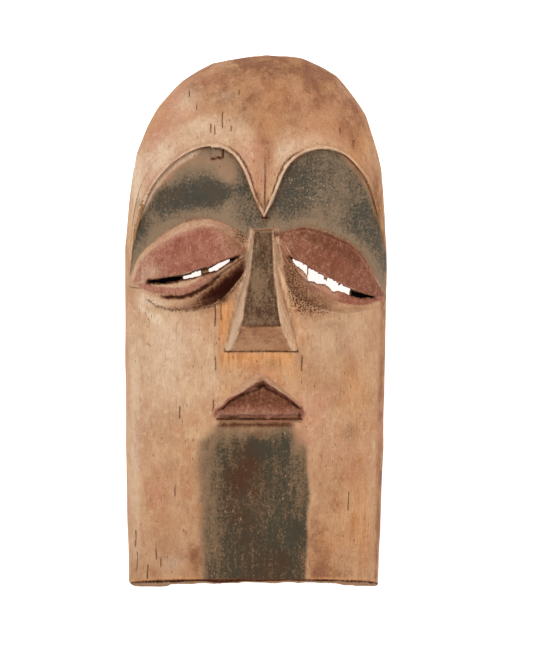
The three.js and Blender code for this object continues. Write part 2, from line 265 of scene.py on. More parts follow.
LEFT_EYE = {
    "side": "left", "from": -51.9, "to": NOSE_LINE_X, "slit": (-44.2, -7.7),
    "brow": edge((-51.9, 19.3), (-50.6, 31.5), (-47.7, 45), (-40.3, 58.2), (-29.8, 67.6), (-19.3, 71.3),
                 (-11.5, 69.5), (-5.6, 62.4), (-0.3, 49.2), on_nose_line("brow")),
    "lid_top": edge((-51.9, 17), (-48.2, 25.5), (-42.9, 31.3), (-32.4, 38.4), (-20, 41.4), (-8.7, 37.1),
                    (-3.5, 33), on_nose_line("lid_top")),
    "slit_top": edge((-51.9, 15.4), (-46.1, 16.1), (-31.3, 18.6), (-16.1, 23.1), (-7.7, 26.4),
                     on_nose_line("slit_top")),
    "slit_bottom": edge((-51.9, 15.1), (-46.1, 15.5), (-31, 16.5), (-16.1, 20.9), (-7.7, 26),
                        on_nose_line("slit_bottom")),
    "lid_bottom": edge((-51.9, 14.7), (-47.8, 13.2), (-42.9, 10.9), (-35.1, 10), (-27.2, 10.8),
                       (-16.6, 17.1), (-5.6, 25.2), on_nose_line("lid_bottom")),
    "cheek": edge((-51.9, 14), (-48.2, 10.8), (-42.9, 7.1), (-36.6, 4.5), (-29.8, 4.4), (-22.4, 5.2),
                  (-16, 7.6), (-11.4, 11.2), (-6.1, 17.6), on_nose_line("cheek")),
    "open_top": blade_edge((-46.1, 16), (-38, 16.9), (-31.2, 17.9), (-28, 18.2), (-24.5, 19.8),
                           (-18.8, 21.4), (-16.3, 22.7), (-14.6, 23.6), (-11.3, 24.7), (-7.7, 26)),
    "open_bottom": blade_edge((-46.1, 15.8), (-38, 15.7), (-32, 16.5), (-31.2, 17.1), (-26, 17.9),
                              (-22.9, 18.8), (-18.8, 20.2), (-16.3, 20.8), (-14.6, 21.7), (-11.3, 23.9),
                              (-7.7, 25.8)),
    # Stretches of the slit, as from, to and how deep it goes, with no depth where it goes right through
    "cuts": [(-44.2, -30.1, 7.0), (-29.9, -22.5, None), (-22.3, -19.5, 1.5), (-19.3, -10.7, None),
             (-10.5, -7.7, 7.0)],
    "ragged": 0.16,
}
RIGHT_EYE = {
    "side": "right", "from": NOSE_LINE_X, "to": 53.4, "slit": (13.9, 48.7),
    "brow": edge(on_nose_line("brow"), (7, 49.4), (12.2, 61.6), (17.5, 67.2), (24.9, 70.2), (32, 69.7),
                 (39.1, 65.8), (46.4, 56.1), (51.1, 42.9), (53, 29), (53.4, 18.2)),
    "lid_top": edge(on_nose_line("lid_top"), (9.6, 35.6), (20.1, 38.2), (31.2, 35.3), (41.2, 29.8),
                    (46.4, 22.9), (51.2, 14), (53.4, 10.4)),
    "slit_top": edge(on_nose_line("slit_top"), (9.6, 33.6), (14.6, 26), (21.7, 21.7), (31.7, 16.7),
                     (43.8, 11.3), (48.7, 10), (53.4, 9.7)),
    "slit_bottom": edge(on_nose_line("slit_bottom"), (9.6, 32.6), (14.6, 25.5), (21.2, 18.6), (29.1, 13.7),
                        (36, 10.8), (43.3, 9.7), (48.7, 9.5), (53.4, 9.4)),
    "lid_bottom": edge(on_nose_line("lid_bottom"), (9.6, 30.5), (13.5, 24), (20.2, 15.6), (29.1, 9.8),
                       (36, 7.2), (44.9, 6.6), (50, 8.2), (53.4, 9)),
    "cheek": edge(on_nose_line("cheek"), (9.6, 21.5), (14, 11.9), (20.2, 6.9), (29.1, 4), (37, 2.8),
                  (44.9, 4), (49.1, 5.5), (53.4, 8.6)),
    "open_top": blade_edge((13.9, 26.1), (16.7, 24.4), (20, 22.9), (21, 22.2), (21.4, 21.6), (24.1, 20.2),
                           (27.4, 17.9), (28.2, 16.6), (29, 16.3), (29.6, 17.4), (33.2, 15.4), (33.7, 14),
                           (34.5, 14.6), (39.6, 12), (43, 11.2), (48.7, 9.9)),
    "open_bottom": blade_edge((13.9, 25.8), (16.7, 22.7), (19.2, 21), (21, 18.6), (21.5, 16.4), (24.1, 16),
                              (25, 15.3), (28.2, 15.4), (30, 14.2), (30.7, 12.9), (32.4, 12.1), (33.2, 12.6),
                              (36.5, 11.9), (39.6, 10.2), (43, 9.5), (48.7, 9.5)),
    "cuts": [(13.9, 14.6, 7.0), (14.8, 20.9, None), (21.4, 38.7, None), (38.9, 48.7, 7.0)],
    "ragged": 0.2,
}
SOCKET_DEPTH = 3.3
LID_BULGE = 4.3  # upper lid, above the floor of the socket
LOWER_LID_BULGE = 2.2
UNDER_EYE_DEPTH = 3.2
INNER_CORNER_DEPTH = 2.0  # deeper still beside the nose
V_TOP_Y = 76.0  # the fine carving between the brows begins here
V_SPREAD = 6.5

# Scoop behind each eye, which thins the wall so that the slit can go through
EYE_WALL = 7.5
SCOOP_MARGIN = 5.0
SCOOP_HALF_HEIGHT = 10.0
SCOOP_CENTRE_Z = 10.0


def eye_lines(eye, x):
    """The lines of an eye's carving from the forehead down to the cheek, as y and height over the vault."""
    u = (x - eye["from"]) / (eye["to"] - eye["from"])
    inward = u if eye["side"] == "left" else 1 - u
    bowl = mix(0.15, 1, smooth(inward * 4))
    slit_from, slit_to = eye["slit"]
    lid_span = np.clip((x - slit_from + 3) / (slit_to - slit_from + 6), 0, 1)
    swell = np.sqrt(4 * lid_span * (1 - lid_span))
    names = ("brow", "lid_top", "slit_top", "slit_bottom", "lid_bottom", "cheek")
    brow, lid_top, slit_top, slit_bottom, lid_bottom, cheek = [eye[name](x) for name in names]
    floor = -SOCKET_DEPTH * bowl
    lid = floor * 0.85
    hollowed = -(UNDER_EYE_DEPTH + INNER_CORNER_DEPTH * smooth(inward * 2 - 0.7)) * bowl
    flare_from = np.maximum(brow + FLARE_REACH, V_TOP_Y - V_SPREAD * np.abs(x - NOSE_LINE_X))
    lines = [
        (flare_from, np.full_like(x, -0.1)),
        (brow + FLARE_REACH * 0.35, BROW_FLARE * 0.55 * bowl),
        (brow, BROW_FLARE * bowl),
        (brow - LEAST_GAP, floor * 0.95),
        (mix(brow, lid_top, 0.35), floor * 1.08),
        (mix(brow, lid_top, 0.75), floor),
        (lid_top, lid),
        (mix(lid_top, slit_top, 0.1), lid + LID_BULGE * 0.42 * swell),
        (mix(lid_top, slit_top, 0.35), lid + LID_BULGE * 0.8 * swell),
        (mix(lid_top, slit_top, 0.7), lid + LID_BULGE * 0.98 * swell),
        (slit_top, lid + LID_BULGE * swell),
        (slit_bottom, floor + LOWER_LID_BULGE * swell),
        (mix(slit_bottom, lid_bottom, 0.5), floor + LOWER_LID_BULGE * 0.9 * swell),
        (lid_bottom, hollowed * 0.8),
        (mix(lid_bottom, cheek, 0.5), hollowed),
        (cheek, CLEAN_MEETING - field_cut(x)),
    ]
    for k in range(1, len(lines)):
        lines[k] = (np.minimum(lines[k][0], lines[k - 1][0] - LEAST_GAP), lines[k][1])
    return lines


# Rows between one line of the carving and another: first line, last line, rows, rounds of smoothing
EYE_BANDS = [(0, 1, 6, 0), (1, 2, 9, 4), (2, 3, 2, 0), (3, 6, 38, 30), (6, 10, 28, 8), (10, 11, 2, 0),
             (11, 13, 10, 6), (13, 15, 10, 5)]
MOUTH_BANDS = [(0, 1, 9, 0), (1, 2, 9, 0), (2, 3, 14, 0), (3, 4, 6, 0), (4, 5, 5, 0)]

# Nose: a wedge with a flat ridge that rises and widens down to its tip
NOSE_TOP_Y = 37.4
NOSE_TIP_Y = -2.8
NOSE_FOOT_Y = -12.6
NOSE_TIP_RISE = 8.6
NOSE_TOP_RISE = -1.2  # still below the face here, but above the floor of the sockets
NOSE_LINES = [NOSE_FOOT_Y, NOSE_TIP_Y, NOSE_TOP_Y]
ridge_left = edge((NOSE_FOOT_Y, -11), (NOSE_TIP_Y, -6.5), (10.3, -4.5), (20.2, -2.7), (NOSE_TOP_Y, -1))
ridge_right = edge((NOSE_FOOT_Y, 15.4), (NOSE_TIP_Y, 10.8), (10.3, 8.7), (20.2, 7.7), (NOSE_TOP_Y, 6.9))
foot_left = blade_edge((NOSE_FOOT_Y, -12.7), (NOSE_TOP_Y, -2.2))
foot_right = blade_edge((NOSE_FOOT_Y, 17.3), (4.4, 14), (18.5, 11.8), (NOSE_TOP_Y, 9.2))


def nose_profile(y):
    """Height of the nose's ridge line, and how deep its feet reach below the ground, at each y."""
    up = np.clip((y - NOSE_TIP_Y) / (NOSE_TOP_Y - NOSE_TIP_Y), 0, 1)
    rises = [-FIELD_DEPTH, NOSE_TIP_RISE, NOSE_TOP_RISE]
    ridge = vault(np.zeros_like(y), y) + np.interp(y, NOSE_LINES, rises)
    above_tip = mix(0.4, SOCKET_DEPTH + INNER_CORNER_DEPTH, smooth(up * 2))
    sunk = np.where(y < NOSE_TIP_Y, 0.4 * (y - NOSE_FOOT_Y) / (NOSE_TIP_Y - NOSE_FOOT_Y), above_tip)
    return ridge, sunk


# Mouth: a gabled upper lip over a low lower lip
MOUTH_LEFT = -16.9
MOUTH_RIGHT = 19.4
MOUTH_MIDDLE = 1.5
LOWER_LIP_Y = -38.4
GROOVE_Y = -40.4
UPPER_LIP_RISE = 3.4
FOLD_DEPTH = 0.9
LOWER_LIP_RISE = 2.2
GROOVE_DEPTH = 1.8
mouth_outer = blade_edge((MOUTH_LEFT, -34.4), (0.4, -21.4), (3.2, -21.4), (MOUTH_RIGHT, -34.8))
mouth_crest = blade_edge((MOUTH_LEFT, -37), (-14.7, -35.4), (-6.6, -29.9), (0, -25.3), (3.2, -24.5),
                         (13.3, -31.4), (18.4, -35.8), (MOUTH_RIGHT, -37.4))
mouth_fold = blade_edge((MOUTH_LEFT, -37.8), (-13.5, -36.1), (-10.7, -33), (-3.8, -29.8), (1, -28.2),
                        (2.8, -27.2), (6.5, -28.8), (12, -32), (18.2, -36.4), (MOUTH_RIGHT, -38))


def mouth_lines(x):
    """The lines of the mouth's carving from above the upper lip down to the chin, as an eye's are given."""
    ends = smooth((x - MOUTH_LEFT) / 2.2) * smooth((MOUTH_RIGHT - x) / 1.6)
    middle = 1 - np.abs(x - MOUTH_MIDDLE) / 18
    lip = mix(0.62, 1, middle) * ends
    low = -field_cut(x)
    flat = np.ones_like(x)
    return [
        (mouth_outer(x), low + CLEAN_MEETING),
        (mouth_crest(x), low + UPPER_LIP_RISE * lip),
        (mouth_fold(x), low - FOLD_DEPTH * middle * ends),
        (LOWER_LIP_Y * flat, low + LOWER_LIP_RISE * lip),
        (GROOVE_Y * flat, low - GROOVE_DEPTH * ends),
        (CHIN_EDGE_Y * flat, CLEAN_MEETING * flat),
    ]


# Beard of black paint below the mouth, as x along its two borders at each y
BEARD_LEFT = blade_edge((-107.3, -22), (-97.5, -22.4), (-89.4, -22.8), (-77.2, -23.4), (-60.8, -24.6),
                        (-50.2, -24), (-46.2, -20.4), (-42.2, -17))
BEARD_RIGHT = blade_edge((-105.7, 20.8), (-89.4, 21.7), (-78.8, 21.4), (-73, 22.7), (-66, 22.2),
                         (-60, 21.5), (-51.9, 21.6), (-46.2, 18.4), (-42.2, 15.6))


# Making closed solids from worked sheets
def even_along(across, up, cell):
    """Places along a profile that are about one cell apart on the surface."""
    lengths = np.concatenate([[0], np.cumsum(np.hypot(np.diff(across), np.diff(up)))])
    parts = round(lengths[-1] / cell)
    return np.interp(np.linspace(0, lengths[-1], parts + 1), lengths, across)


def domed_sheet(start, side_wall, crown_wall, height, cell):
    """The domed sheet inside an outline, as rows that bow up to the arch of the crown."""
    turn = np.linspace(-math.pi / 2, math.pi / 2, 4001)
    g = even_along(HALF_WIDTH * np.sin(turn), height(HALF_WIDTH * np.sin(turn), 0 * turn), cell) / HALF_WIDTH
    g[0], g[-1] = -1, 1
    top = CROWN_Y - crown_wall
    fine_y = start + (top - start) * np.sin((turn + math.pi / 2) / 2)
    middle_y = even_along(fine_y, height(crown_lean(fine_y), fine_y), cell)
    rows = []
    for row_y in middle_y:
        side_y = mix(start, SPRING_Y, (row_y - start) / (top - start))
        y = side_y + (row_y - side_y) * dome(g, ARCH_POWER)
        x = crown_lean(y) + g * (half_width(g, y) - side_wall(g, y))
        rows.append(np.stack([x, y, height(x, y)], axis=1))
    return np.array(rows)


def lofted(x, lines, bands):
    """Rows of a carved sheet between lines given at each x, rounded off between the lines of a band."""
    ys, heights = [np.array(each) for each in zip(*lines)]
    rows = []
    for first, last, count, rounds in bands:
        places = np.linspace(first, last, count + 1)
        low = np.minimum(places.astype(int), last - 1)
        part = (places - low)[:, None]
        y = mix(ys[low], ys[low + 1], part)
        h = mix(heights[low], heights[low + 1], part)
        for _ in range(rounds):
            h[1:-1] = (h[:-2] + 2 * h[1:-1] + h[2:]) / 4
        rows += list(zip(y, h))[bool(rows):]
    return np.array([np.stack([x, y, vault(x, y) + h], axis=1) for y, h in rows])


def closed(sheet, level, axis=2):
    """Points and faces of the solid between a sheet and a flat level along one axis."""
    rows, across = sheet.shape[:2]
    flat = sheet.copy()
    flat[..., axis] = level
    points = np.concatenate([sheet.reshape(-1, 3), flat.reshape(-1, 3)])
    grid = np.arange(rows * across).reshape(rows, across)
    a, b, c, d = grid[:-1, :-1], grid[:-1, 1:], grid[1:, 1:], grid[1:, :-1]
    size = rows * across
    quads = [np.stack([a, b, c, d], -1).reshape(-1, 4)]
    quads.append(np.stack([a, d, c, b], -1).reshape(-1, 4) + size)
    border = np.concatenate([grid[0, :-1], grid[:-1, -1], grid[-1, :0:-1], grid[:0:-1, 0]])
    after = np.roll(border, -1)
    quads.append(np.stack([after, border, border + size, after + size], -1))
    faces = np.concatenate(quads)
    p, q, r, s = [points[faces[:, k]] for k in range(4)]
    volume = np.sum(p * np.cross(q, r)) + np.sum(p * np.cross(r, s))
    return points, faces if volume > 0 else faces[:, ::-1]


def in_scene(name, mesh):
    made = bpy.data.objects.new(name, mesh)
    bpy.context.scene.collection.objects.link(made)
    return made


def solid(name, points, faces):
    mesh = bpy.data.meshes.new(name)
    mesh.vertices.add(len(points))
    mesh.vertices.foreach_set("co", points.astype(np.float32).ravel())
    mesh.loops.add(faces.size)
    mesh.loops.foreach_set("vertex_index", faces.astype(np.int32).ravel())
    mesh.polygons.add(len(faces))
    mesh.polygons.foreach_set("loop_start", np.arange(0, faces.size, 4, dtype=np.int32))
    mesh.update(calc_edges=True)
    return in_scene(name, mesh)


def largest_piece(mesh):
    """Takes away the crumbs that a cut left loose and the slivers that it left folded onto the surface."""
    whole = bmesh.new()
    whole.from_mesh(mesh)
    odd = [f for f in whole.faces if len(f.verts) > 4 or not all(loop.is_convex for loop in f.loops)]
    bmesh.ops.triangulate(whole, faces=odd)
    bmesh.ops.remove_doubles(whole, verts=whole.verts, dist=SAME_PLACE)
    bmesh.ops.dissolve_degenerate(whole, edges=whole.edges, dist=SAME_PLACE)
    unseen = set(whole.faces)
    pieces = []
    while unseen:
        newest = [unseen.pop()]
        piece = set(newest)
        while newest:
            joined = [e.link_faces for face in newest for e in face.edges if len(e.link_faces) == 2]
            reached = {face for pair in joined for face in pair} & unseen
            unseen -= reached
            piece |= reached
            newest = list(reached)
        pieces.append(piece)
    pieces.sort(key=len)
    crumbs = [face for piece in pieces[:-1] for face in piece]
    bmesh.ops.delete(whole, geom=crumbs, context="FACES")
    bmesh.ops.holes_fill(whole, edges=[e for e in whole.edges if len(e.link_faces) == 1], sides=4)
    whole.to_mesh(mesh)
    whole.free()


def work(block, tool, how):
    """Cuts the tool's shape out of the block, or joins it on, and uses the tool up."""
    step = block.modifiers.new("work", "BOOLEAN")
    step.operation = how
    step.solver = "MANIFOLD"
    step.object = tool
    seen = bpy.context.evaluated_depsgraph_get()
    worked = bpy.data.meshes.new_from_object(block.evaluated_get(seen))
    block.modifiers.remove(step)
    old = block.data
    block.data = worked
    bpy.data.meshes.remove(old)
    spent = tool.data
    bpy.data.objects.remove(tool)
    bpy.data.meshes.remove(spent)


def carve(block, sheet):
    """Gives the block the sheet's surface: what stands above it goes, and what lies below it is filled."""
    work(block, solid("waste", *closed(sheet, ABOVE_ALL)), "DIFFERENCE")
    work(block, solid("relief", *closed(sheet, ROOT_LEVEL)), "UNION")


def eye_columns(eye):
    """Places across an eye, closer together where the brow is steep."""
    fine = np.linspace(eye["from"], eye["to"], 2001)
    return even_along(fine, 0.45 * eye["brow"](fine), CARVED_CELL)


def both_eyes():
    sheets = []
    for eye in (LEFT_EYE, RIGHT_EYE):
        x = eye_columns(eye)
        sheets.append(lofted(x, eye_lines(eye, x), EYE_BANDS))
    return np.concatenate([sheets[0], sheets[1][:, 1:]], axis=1)


def nose_sheet():
    end, bridge = np.linspace(NOSE_FOOT_Y, NOSE_TIP_Y, 18), np.linspace(NOSE_TIP_Y, NOSE_TOP_Y, 58)
    y = np.concatenate([end[:-1], bridge])
    ridge, sunk = nose_profile(y)
    side, front, other_side = np.linspace(0, 1, 17), np.linspace(1, 2, 25), np.linspace(2, 3, 17)
    places = np.concatenate([side[:-1], front[:-1], other_side])
    rows = []
    for y_here, ridge_here, sunk_here in zip(y, ridge, sunk):
        corners = [foot_left(y_here), ridge_left(y_here), ridge_right(y_here), foot_right(y_here)]
        feet = [min(ridge_here, ground(np.array(x), y_here) - sunk_here) for x in (corners[0], corners[3])]
        heights = [feet[0], ridge_here, ridge_here, feet[1]]
        x, z = np.interp(places, range(4), corners), np.interp(places, range(4), heights)
        rows.append(np.stack([x, np.full_like(x, y_here), z], axis=1))
    sheet = np.array(rows)
    for _ in range(2):
        z = sheet[..., 2]
        z[:, 1:-1] = (z[:, :-2] + 2 * z[:, 1:-1] + z[:, 2:]) / 4
        z[1:-1] = (z[:-2] + 2 * z[1:-1] + z[2:]) / 4
    return sheet


def slit_cutters(eye):
    """One cutter for each stretch of the slit, with the splintery edges that the knife left."""
    for start, end, depth in eye["cuts"]:
        x = np.linspace(start, end, max(4, round((end - start) / 0.3)))
        line = np.stack([x, 0 * x, 0 * x], axis=1)
        top = eye["open_top"](x) + 0.5 * eye["ragged"] * unevenness(line + 90, (0.8, 1, 1))
        bottom = eye["open_bottom"](x) + eye["ragged"] * unevenness(line, (0.7, 1, 1))
        bottom = np.minimum(bottom, top - LEAST_GAP)
        rows = []
        for y in (bottom, top):
            floor = np.full_like(x, BELOW_ALL) if depth is None else vault(x, y) - depth
            rows.append(np.stack([x, y, floor], axis=1))
        yield solid("slit", *closed(np.array(rows), ABOVE_ALL))


def eye_scoop(eye):
    """The ball that is scooped out behind the open part of a slit."""
    opened = [cut for cut in eye["cuts"] if cut[2] is None]
    x0, x1 = opened[0][0] - SCOOP_MARGIN, opened[-1][1] + SCOOP_MARGIN
    middle = (x0 + x1) / 2
    y = (eye["slit_top"](middle) + eye["slit_bottom"](middle)) / 2
    lean = math.atan2(eye["slit_top"](x1) - eye["slit_top"](x0), x1 - x0)
    height = float(vault(middle, y)) - EYE_WALL - SCOOP_CENTRE_Z
    made = bmesh.new()
    bmesh.ops.create_uvsphere(made, u_segments=56, v_segments=36, radius=1)
    placed = Matrix.Translation((middle, y, SCOOP_CENTRE_Z)) @ Matrix.Rotation(lean, 4, "Z")
    made.transform(placed @ Matrix.Diagonal(((x1 - x0) / 2, SCOOP_HALF_HEIGHT, height, 1)))
    mesh = bpy.data.meshes.new("scoop")
    made.to_mesh(mesh)
    made.free()
    return in_scene("scoop", mesh)


def chin_end_cutter():
    """Takes the block off at the chin end, on a slight lean, with a worn and nicked front edge."""
    x = np.linspace(-HALF_WIDTH - 4, HALF_WIDTH + 4, 190)
    z = np.concatenate([np.linspace(BELOW_ALL, 30, 30), np.linspace(30.5, FACE_RISE + 6, 44)])
    across, up = np.meshgrid(x, z)
    face = vault(np.clip(across, -HALF_WIDTH + 2.4, HALF_WIDTH - 4.2), np.full_like(across, CHIN_Y))
    flat = np.stack([across.ravel(), 0 * across.ravel(), 0 * across.ravel()], axis=1)
    worn = END_EDGE_ROUND * (1 + 0.7 * unevenness(flat, (7, 1, 1)).reshape(across.shape))
    depth = np.clip((worn - (face - up)) / worn, 0, 1)
    y = CHIN_Y + END_SLOPE * np.maximum(up, 0) + worn * (1 - np.sqrt(1 - depth**2 * 0.999))
    wobble = 0.35 * unevenness(flat + 9, (16, 1, 1)).reshape(across.shape)
    wobble += ovals(across, up, [(-0.6, -13, 30, 6, 60, 0), (0.3, 13, 30, 6, 60, 0)])
    y += np.where(up > 6, wobble * smooth((up - 6) / 20), 0)
    corner_round = np.where(across < 0, 2.4, 1.4)
    near_corner = np.clip(1 - (half_width(across, CHIN_Y) - np.abs(across)) / corner_round, 0, 0.999)
    y += corner_round * (1 - np.sqrt(1 - near_corner**2))
    return solid("chin_end", *closed(np.stack([across, y, up], axis=-1), CHIN_Y - 60, axis=1))


def level_cutter():
    """Takes off whatever lies below the plane of the back rim."""
    corners = np.array([[[-90, -190, 0.0], [90, -190, 0.0]], [[-90, 150, 0.0], [90, 150, 0.0]]])
    return solid("underneath", *closed(corners, -60))


def field_cutter():
    x = np.linspace(FIELD_LEFT, FIELD_RIGHT, round((FIELD_RIGHT - FIELD_LEFT) / FIELD_CELL))
    y = np.linspace(CHIN_EDGE_Y, FIELD_TOP, round((FIELD_TOP - CHIN_EDGE_Y) / FIELD_CELL))
    x, y = np.meshgrid(x, y)
    return solid("field", *closed(np.stack([x, y, ground(x, y)], axis=-1), ABOVE_ALL))


def mouth_sheet():
    x = np.linspace(MOUTH_LEFT, MOUTH_RIGHT, round((MOUTH_RIGHT - MOUTH_LEFT) / CARVED_CELL))
    return lofted(x, mouth_lines(x), MOUTH_BANDS)


def carved_block():
    """The whole mask in millimetres, cut and joined from its worked sheets."""
    skin = domed_sheet(CHIN_Y - 3, no_wall, 0, vault, SKIN_CELL)
    block = solid("carved_mask", *closed(skin, BELOW_ALL))
    work(block, field_cutter(), "DIFFERENCE")
    carve(block, both_eyes())
    work(block, solid("nose", *closed(nose_sheet(), ROOT_LEVEL)), "UNION")
    carve(block, mouth_sheet())
    hollow = domed_sheet(CHIN_Y - 8, rim_wall, CROWN_RIM_WIDTH, ceiling, HOLLOW_CELL)
    work(block, solid("hollow", *closed(hollow, BELOW_ALL - 2)), "DIFFERENCE")
    for eye in (LEFT_EYE, RIGHT_EYE):
        work(block, eye_scoop(eye), "DIFFERENCE")
        for cutter in slit_cutters(eye):
            work(block, cutter, "DIFFERENCE")
    work(block, chin_end_cutter(), "DIFFERENCE")
    work(block, level_cutter(), "DIFFERENCE")
    largest_piece(block.data)
    return block


# Where each point of the surface lies on the face
def on_lines(lines, y, beyond):
    """Height at y on a carving given as lines at each x, and what lies beyond them."""
    height = beyond
    for (top, at_top), (low, at_low) in zip(lines, lines[1:]):
        t = (top - y) / (top - low)
        height = np.where((t >= 0) & (t <= 1), mix(at_top, at_low, t), height)
    return height


def face_height(x, y):
    """Height of the front surface above the rim's plane, straight above each point."""
    in_field = (y > CHIN_EDGE_Y) & (y < FIELD_TOP) & (x < FIELD_RIGHT)
    over = np.where(in_field, -field_cut(x), 0)
    for eye in (LEFT_EYE, RIGHT_EYE):
        within = (x >= eye["from"]) & (x <= eye["to"])
        over = np.where(within, on_lines(eye_lines(eye, x), y, over), over)
    within = (x >= MOUTH_LEFT) & (x <= MOUTH_RIGHT)
    over = np.where(within, on_lines(mouth_lines(x), y, over), over)
    height = vault(x, y) + over
    ridge, sunk = nose_profile(y)
    beside_nose = (y > NOSE_FOOT_Y) & (y < NOSE_TOP_Y)
    on_nose = beside_nose & (x > foot_left(y)) & (x < foot_right(y))
    for foot, top in ((foot_left(y), ridge_left(y)), (foot_right(y), ridge_right(y))):
        low = np.minimum(ridge, ground(foot, y) - sunk)
        t = np.clip((x - foot) / (top - foot), 0, 1)
        on_side = on_nose & ((x - top) * (foot - top) > 0)
        height = np.where(on_side, np.maximum(height, mix(low, ridge, t)), height)
    return np.where(beside_nose & (x >= ridge_left(y)) & (x <= ridge_right(y)), ridge, height)


def slit_wall(eye, x, y):
    """How near a point is to the cut edges of a slit: above 0 within half a millimetre of them."""
    start, end = eye["slit"]
    return least(eye["open_top"](x) - y, y - eye["open_bottom"](x), x - start, end - x) + 0.5


def zones(x, y):
    """How far inside each part of the carving a point lies, in millimetres, negative outside it."""
    left = x < NOSE_LINE_X
    drop = {}
    for name in MEETING:
        drop[name] = np.where(left, below(LEFT_EYE[name], x, y), below(RIGHT_EYE[name], x, y))
    ends = np.minimum(x - LEFT_EYE["from"], RIGHT_EYE["to"] + 0.6 - x)
    mouth_ends = np.minimum(x - MOUTH_LEFT, MOUTH_RIGHT - x)
    outer, crest, fold = [below(line, x, y) for line in (mouth_outer, mouth_crest, mouth_fold)]
    within_ridge = np.minimum(x - ridge_left(y), ridge_right(y) - x)
    on_nose = least(x - foot_left(y), foot_right(y) - x, y - NOSE_FOOT_Y, NOSE_TOP_Y - y)

    def between(upper, lower):
        return least(drop[upper], -drop[lower], ends, -on_nose)

    return {
        "left": left,
        "brow": drop["brow"],
        "lid_top": drop["lid_top"],
        "lid_bottom": drop["lid_bottom"],
        "cheek": drop["cheek"],
        "socket": between("brow", "lid_top"),
        "lid": between("lid_top", "slit_top"),
        "lower_lid": between("slit_bottom", "lid_bottom"),
        "under_eye": between("lid_bottom", "cheek"),
        "slit": least(drop["slit_top"] + 0.7, 0.7 - drop["slit_bottom"], 48 - np.abs(x)),
        "slit_wall": np.where(left, slit_wall(LEFT_EYE, x, y), slit_wall(RIGHT_EYE, x, y)),
        "nose": on_nose,
        "ridge": least(within_ridge, y - NOSE_TIP_Y, NOSE_TOP_Y - y),
        "nose_end": least(within_ridge, y - NOSE_FOOT_Y, NOSE_TIP_Y - y),
        "upper_lip": least(outer, -crest, mouth_ends),
        "inner_lip": least(crest, -fold, mouth_ends),
        "lower_lip": least(fold, y - LOWER_LIP_Y, mouth_ends),
        "mouth": least(outer, y - CHIN_EDGE_Y, mouth_ends),
        "fold": -np.abs(fold) - 3 * np.maximum(0, -mouth_ends),
        "beard": np.where(y < CHIN_EDGE_Y, np.minimum(x - BEARD_LEFT(y), BEARD_RIGHT(y) - x), -9.0),
    }


# Corners of the flats that the adze left on the crown's outline, as angles from the right-hand side
CROWN_CORNERS = [0, 23, 40, 58, 74, 90, 112, 125, 137, 152, 180]
FLAT_RADIUS = 44.0  # of the round that the flats are cut on
GROOVE_X = 3.7  # fine groove down the middle of the forehead
GROOVE_SPAN = (43.0, 69.0)
BROW_CHIP = (-18.6, -13.5, 66.3)  # a chip left standing under the left brow: from, to and its lower edge
CRACKS = [  # fine cracks along the grain: x, y, half length and half width
    (-31.4, -37.6, 2.6, 0.28), (-16.7, 3.2, 5.5, 0.32), (18.8, -17.4, 3.4, 0.32),
    (-49.7, -89.7, 3.5, 0.24), (-41.2, -96.1, 2.2, 0.28), (-39.1, -99.4, 1.8, 0.24),
    (-33.2, -69.9, 2.0, 0.24), (-44.7, -103.2, 3.0, 0.28), (-18.6, 79.0, 1.8, 0.28),
    (-17.0, 78.3, 1.8, 0.24), (-13.8, 82.5, 3.4, 0.24), (-10.3, 79.0, 1.3, 0.24),
    (-6.9, 94.2, 1.3, 0.24), (-27.4, 93.5, 1.4, 0.24), (34.6, 78.0, 1.4, 0.24),
    (-17.6, -34.5, 2.2, 0.24), (-14.2, 3.5, 3.6, 0.2), (-16.6, -17.5, 3.0, 0.24),
    (38.0, -74.0, 4.0, 0.2), (-24.5, 88.0, 1.6, 0.2), (40.2, 72.5, 2.0, 0.2),
    (-49.0, -99.0, 4.0, 0.2),
]
LUMP_IN_GROOVE = [(0.9, 5, -40, 0.9, 0.7, 0)]  # left standing under the mouth

# Depths and heights of the fine marks
CHIP_HEIGHT = 1.2
CHIP_STEP_HEIGHT = 0.7
BEAD_HEIGHT = 0.34
BEHIND_BEAD_DEPTH = 0.2
FOREHEAD_GROOVE_DEPTH = 0.45
CRACK_DEPTH = 0.4
PECK_DEPTH = 0.5
GOUGE_DEPTH = 0.75  # of the broad cuts inside the hollow
CUT_DEPTH = 0.26  # of the shallow cuts outside


def cracks_at(x, y):
    total = np.zeros_like(x)
    for crack_x, crack_y, long, wide in CRACKS:
        lean = 0.1 * np.sin((y - crack_y) * 0.7 + crack_x)
        crack = near(x - crack_x - lean, wide) * inside(long - np.abs(y - crack_y), 1.2)
        total = np.maximum(total, crack)
    return total


def split_along_cracks(mesh):
    """Splits the faces along the cracks, which are narrower than the cells of the skin."""
    whole = bmesh.new()
    whole.from_mesh(mesh)
    for _ in range(2):
        edges = list(whole.edges)
        x, y, z = np.array([(e.verts[0].co + e.verts[1].co) / 2 for e in edges]).T
        close = np.zeros(len(x), bool)
        for crack_x, crack_y, long, _ in CRACKS:
            close |= (np.abs(x - crack_x) < 0.8) & (np.abs(y - crack_y) < long + 0.5) & (z > 10)
        close &= z > vault(x, y) - 6
        split = [e for e, is_close in zip(edges, close) if is_close]
        bmesh.ops.subdivide_edges(whole, edges=split, cuts=1, use_grid_fill=True)
    whole.to_mesh(mesh)
    whole.free()


def groove_at(x, y):
    wander = 0.15 * np.sin(y * 0.35)
    length = smooth((y - GROOVE_SPAN[0]) / 3) * smooth((GROOVE_SPAN[1] - y) / 8)
    return near(x - GROOVE_X - wander, 0.38) * length


def bead_at(x, y, zone):
    """A narrow bead along the brow's edge and the shallow groove behind it, strongest between the eyes."""
    above = -zone["brow"]
    strength = mix(0.35, 1, inside(14 - np.abs(x - NOSE_LINE_X), 10)) * inside(y - 30, 6)
    return strength * near(above - 0.7, 0.45), strength * near(above - 1.7, 0.4)


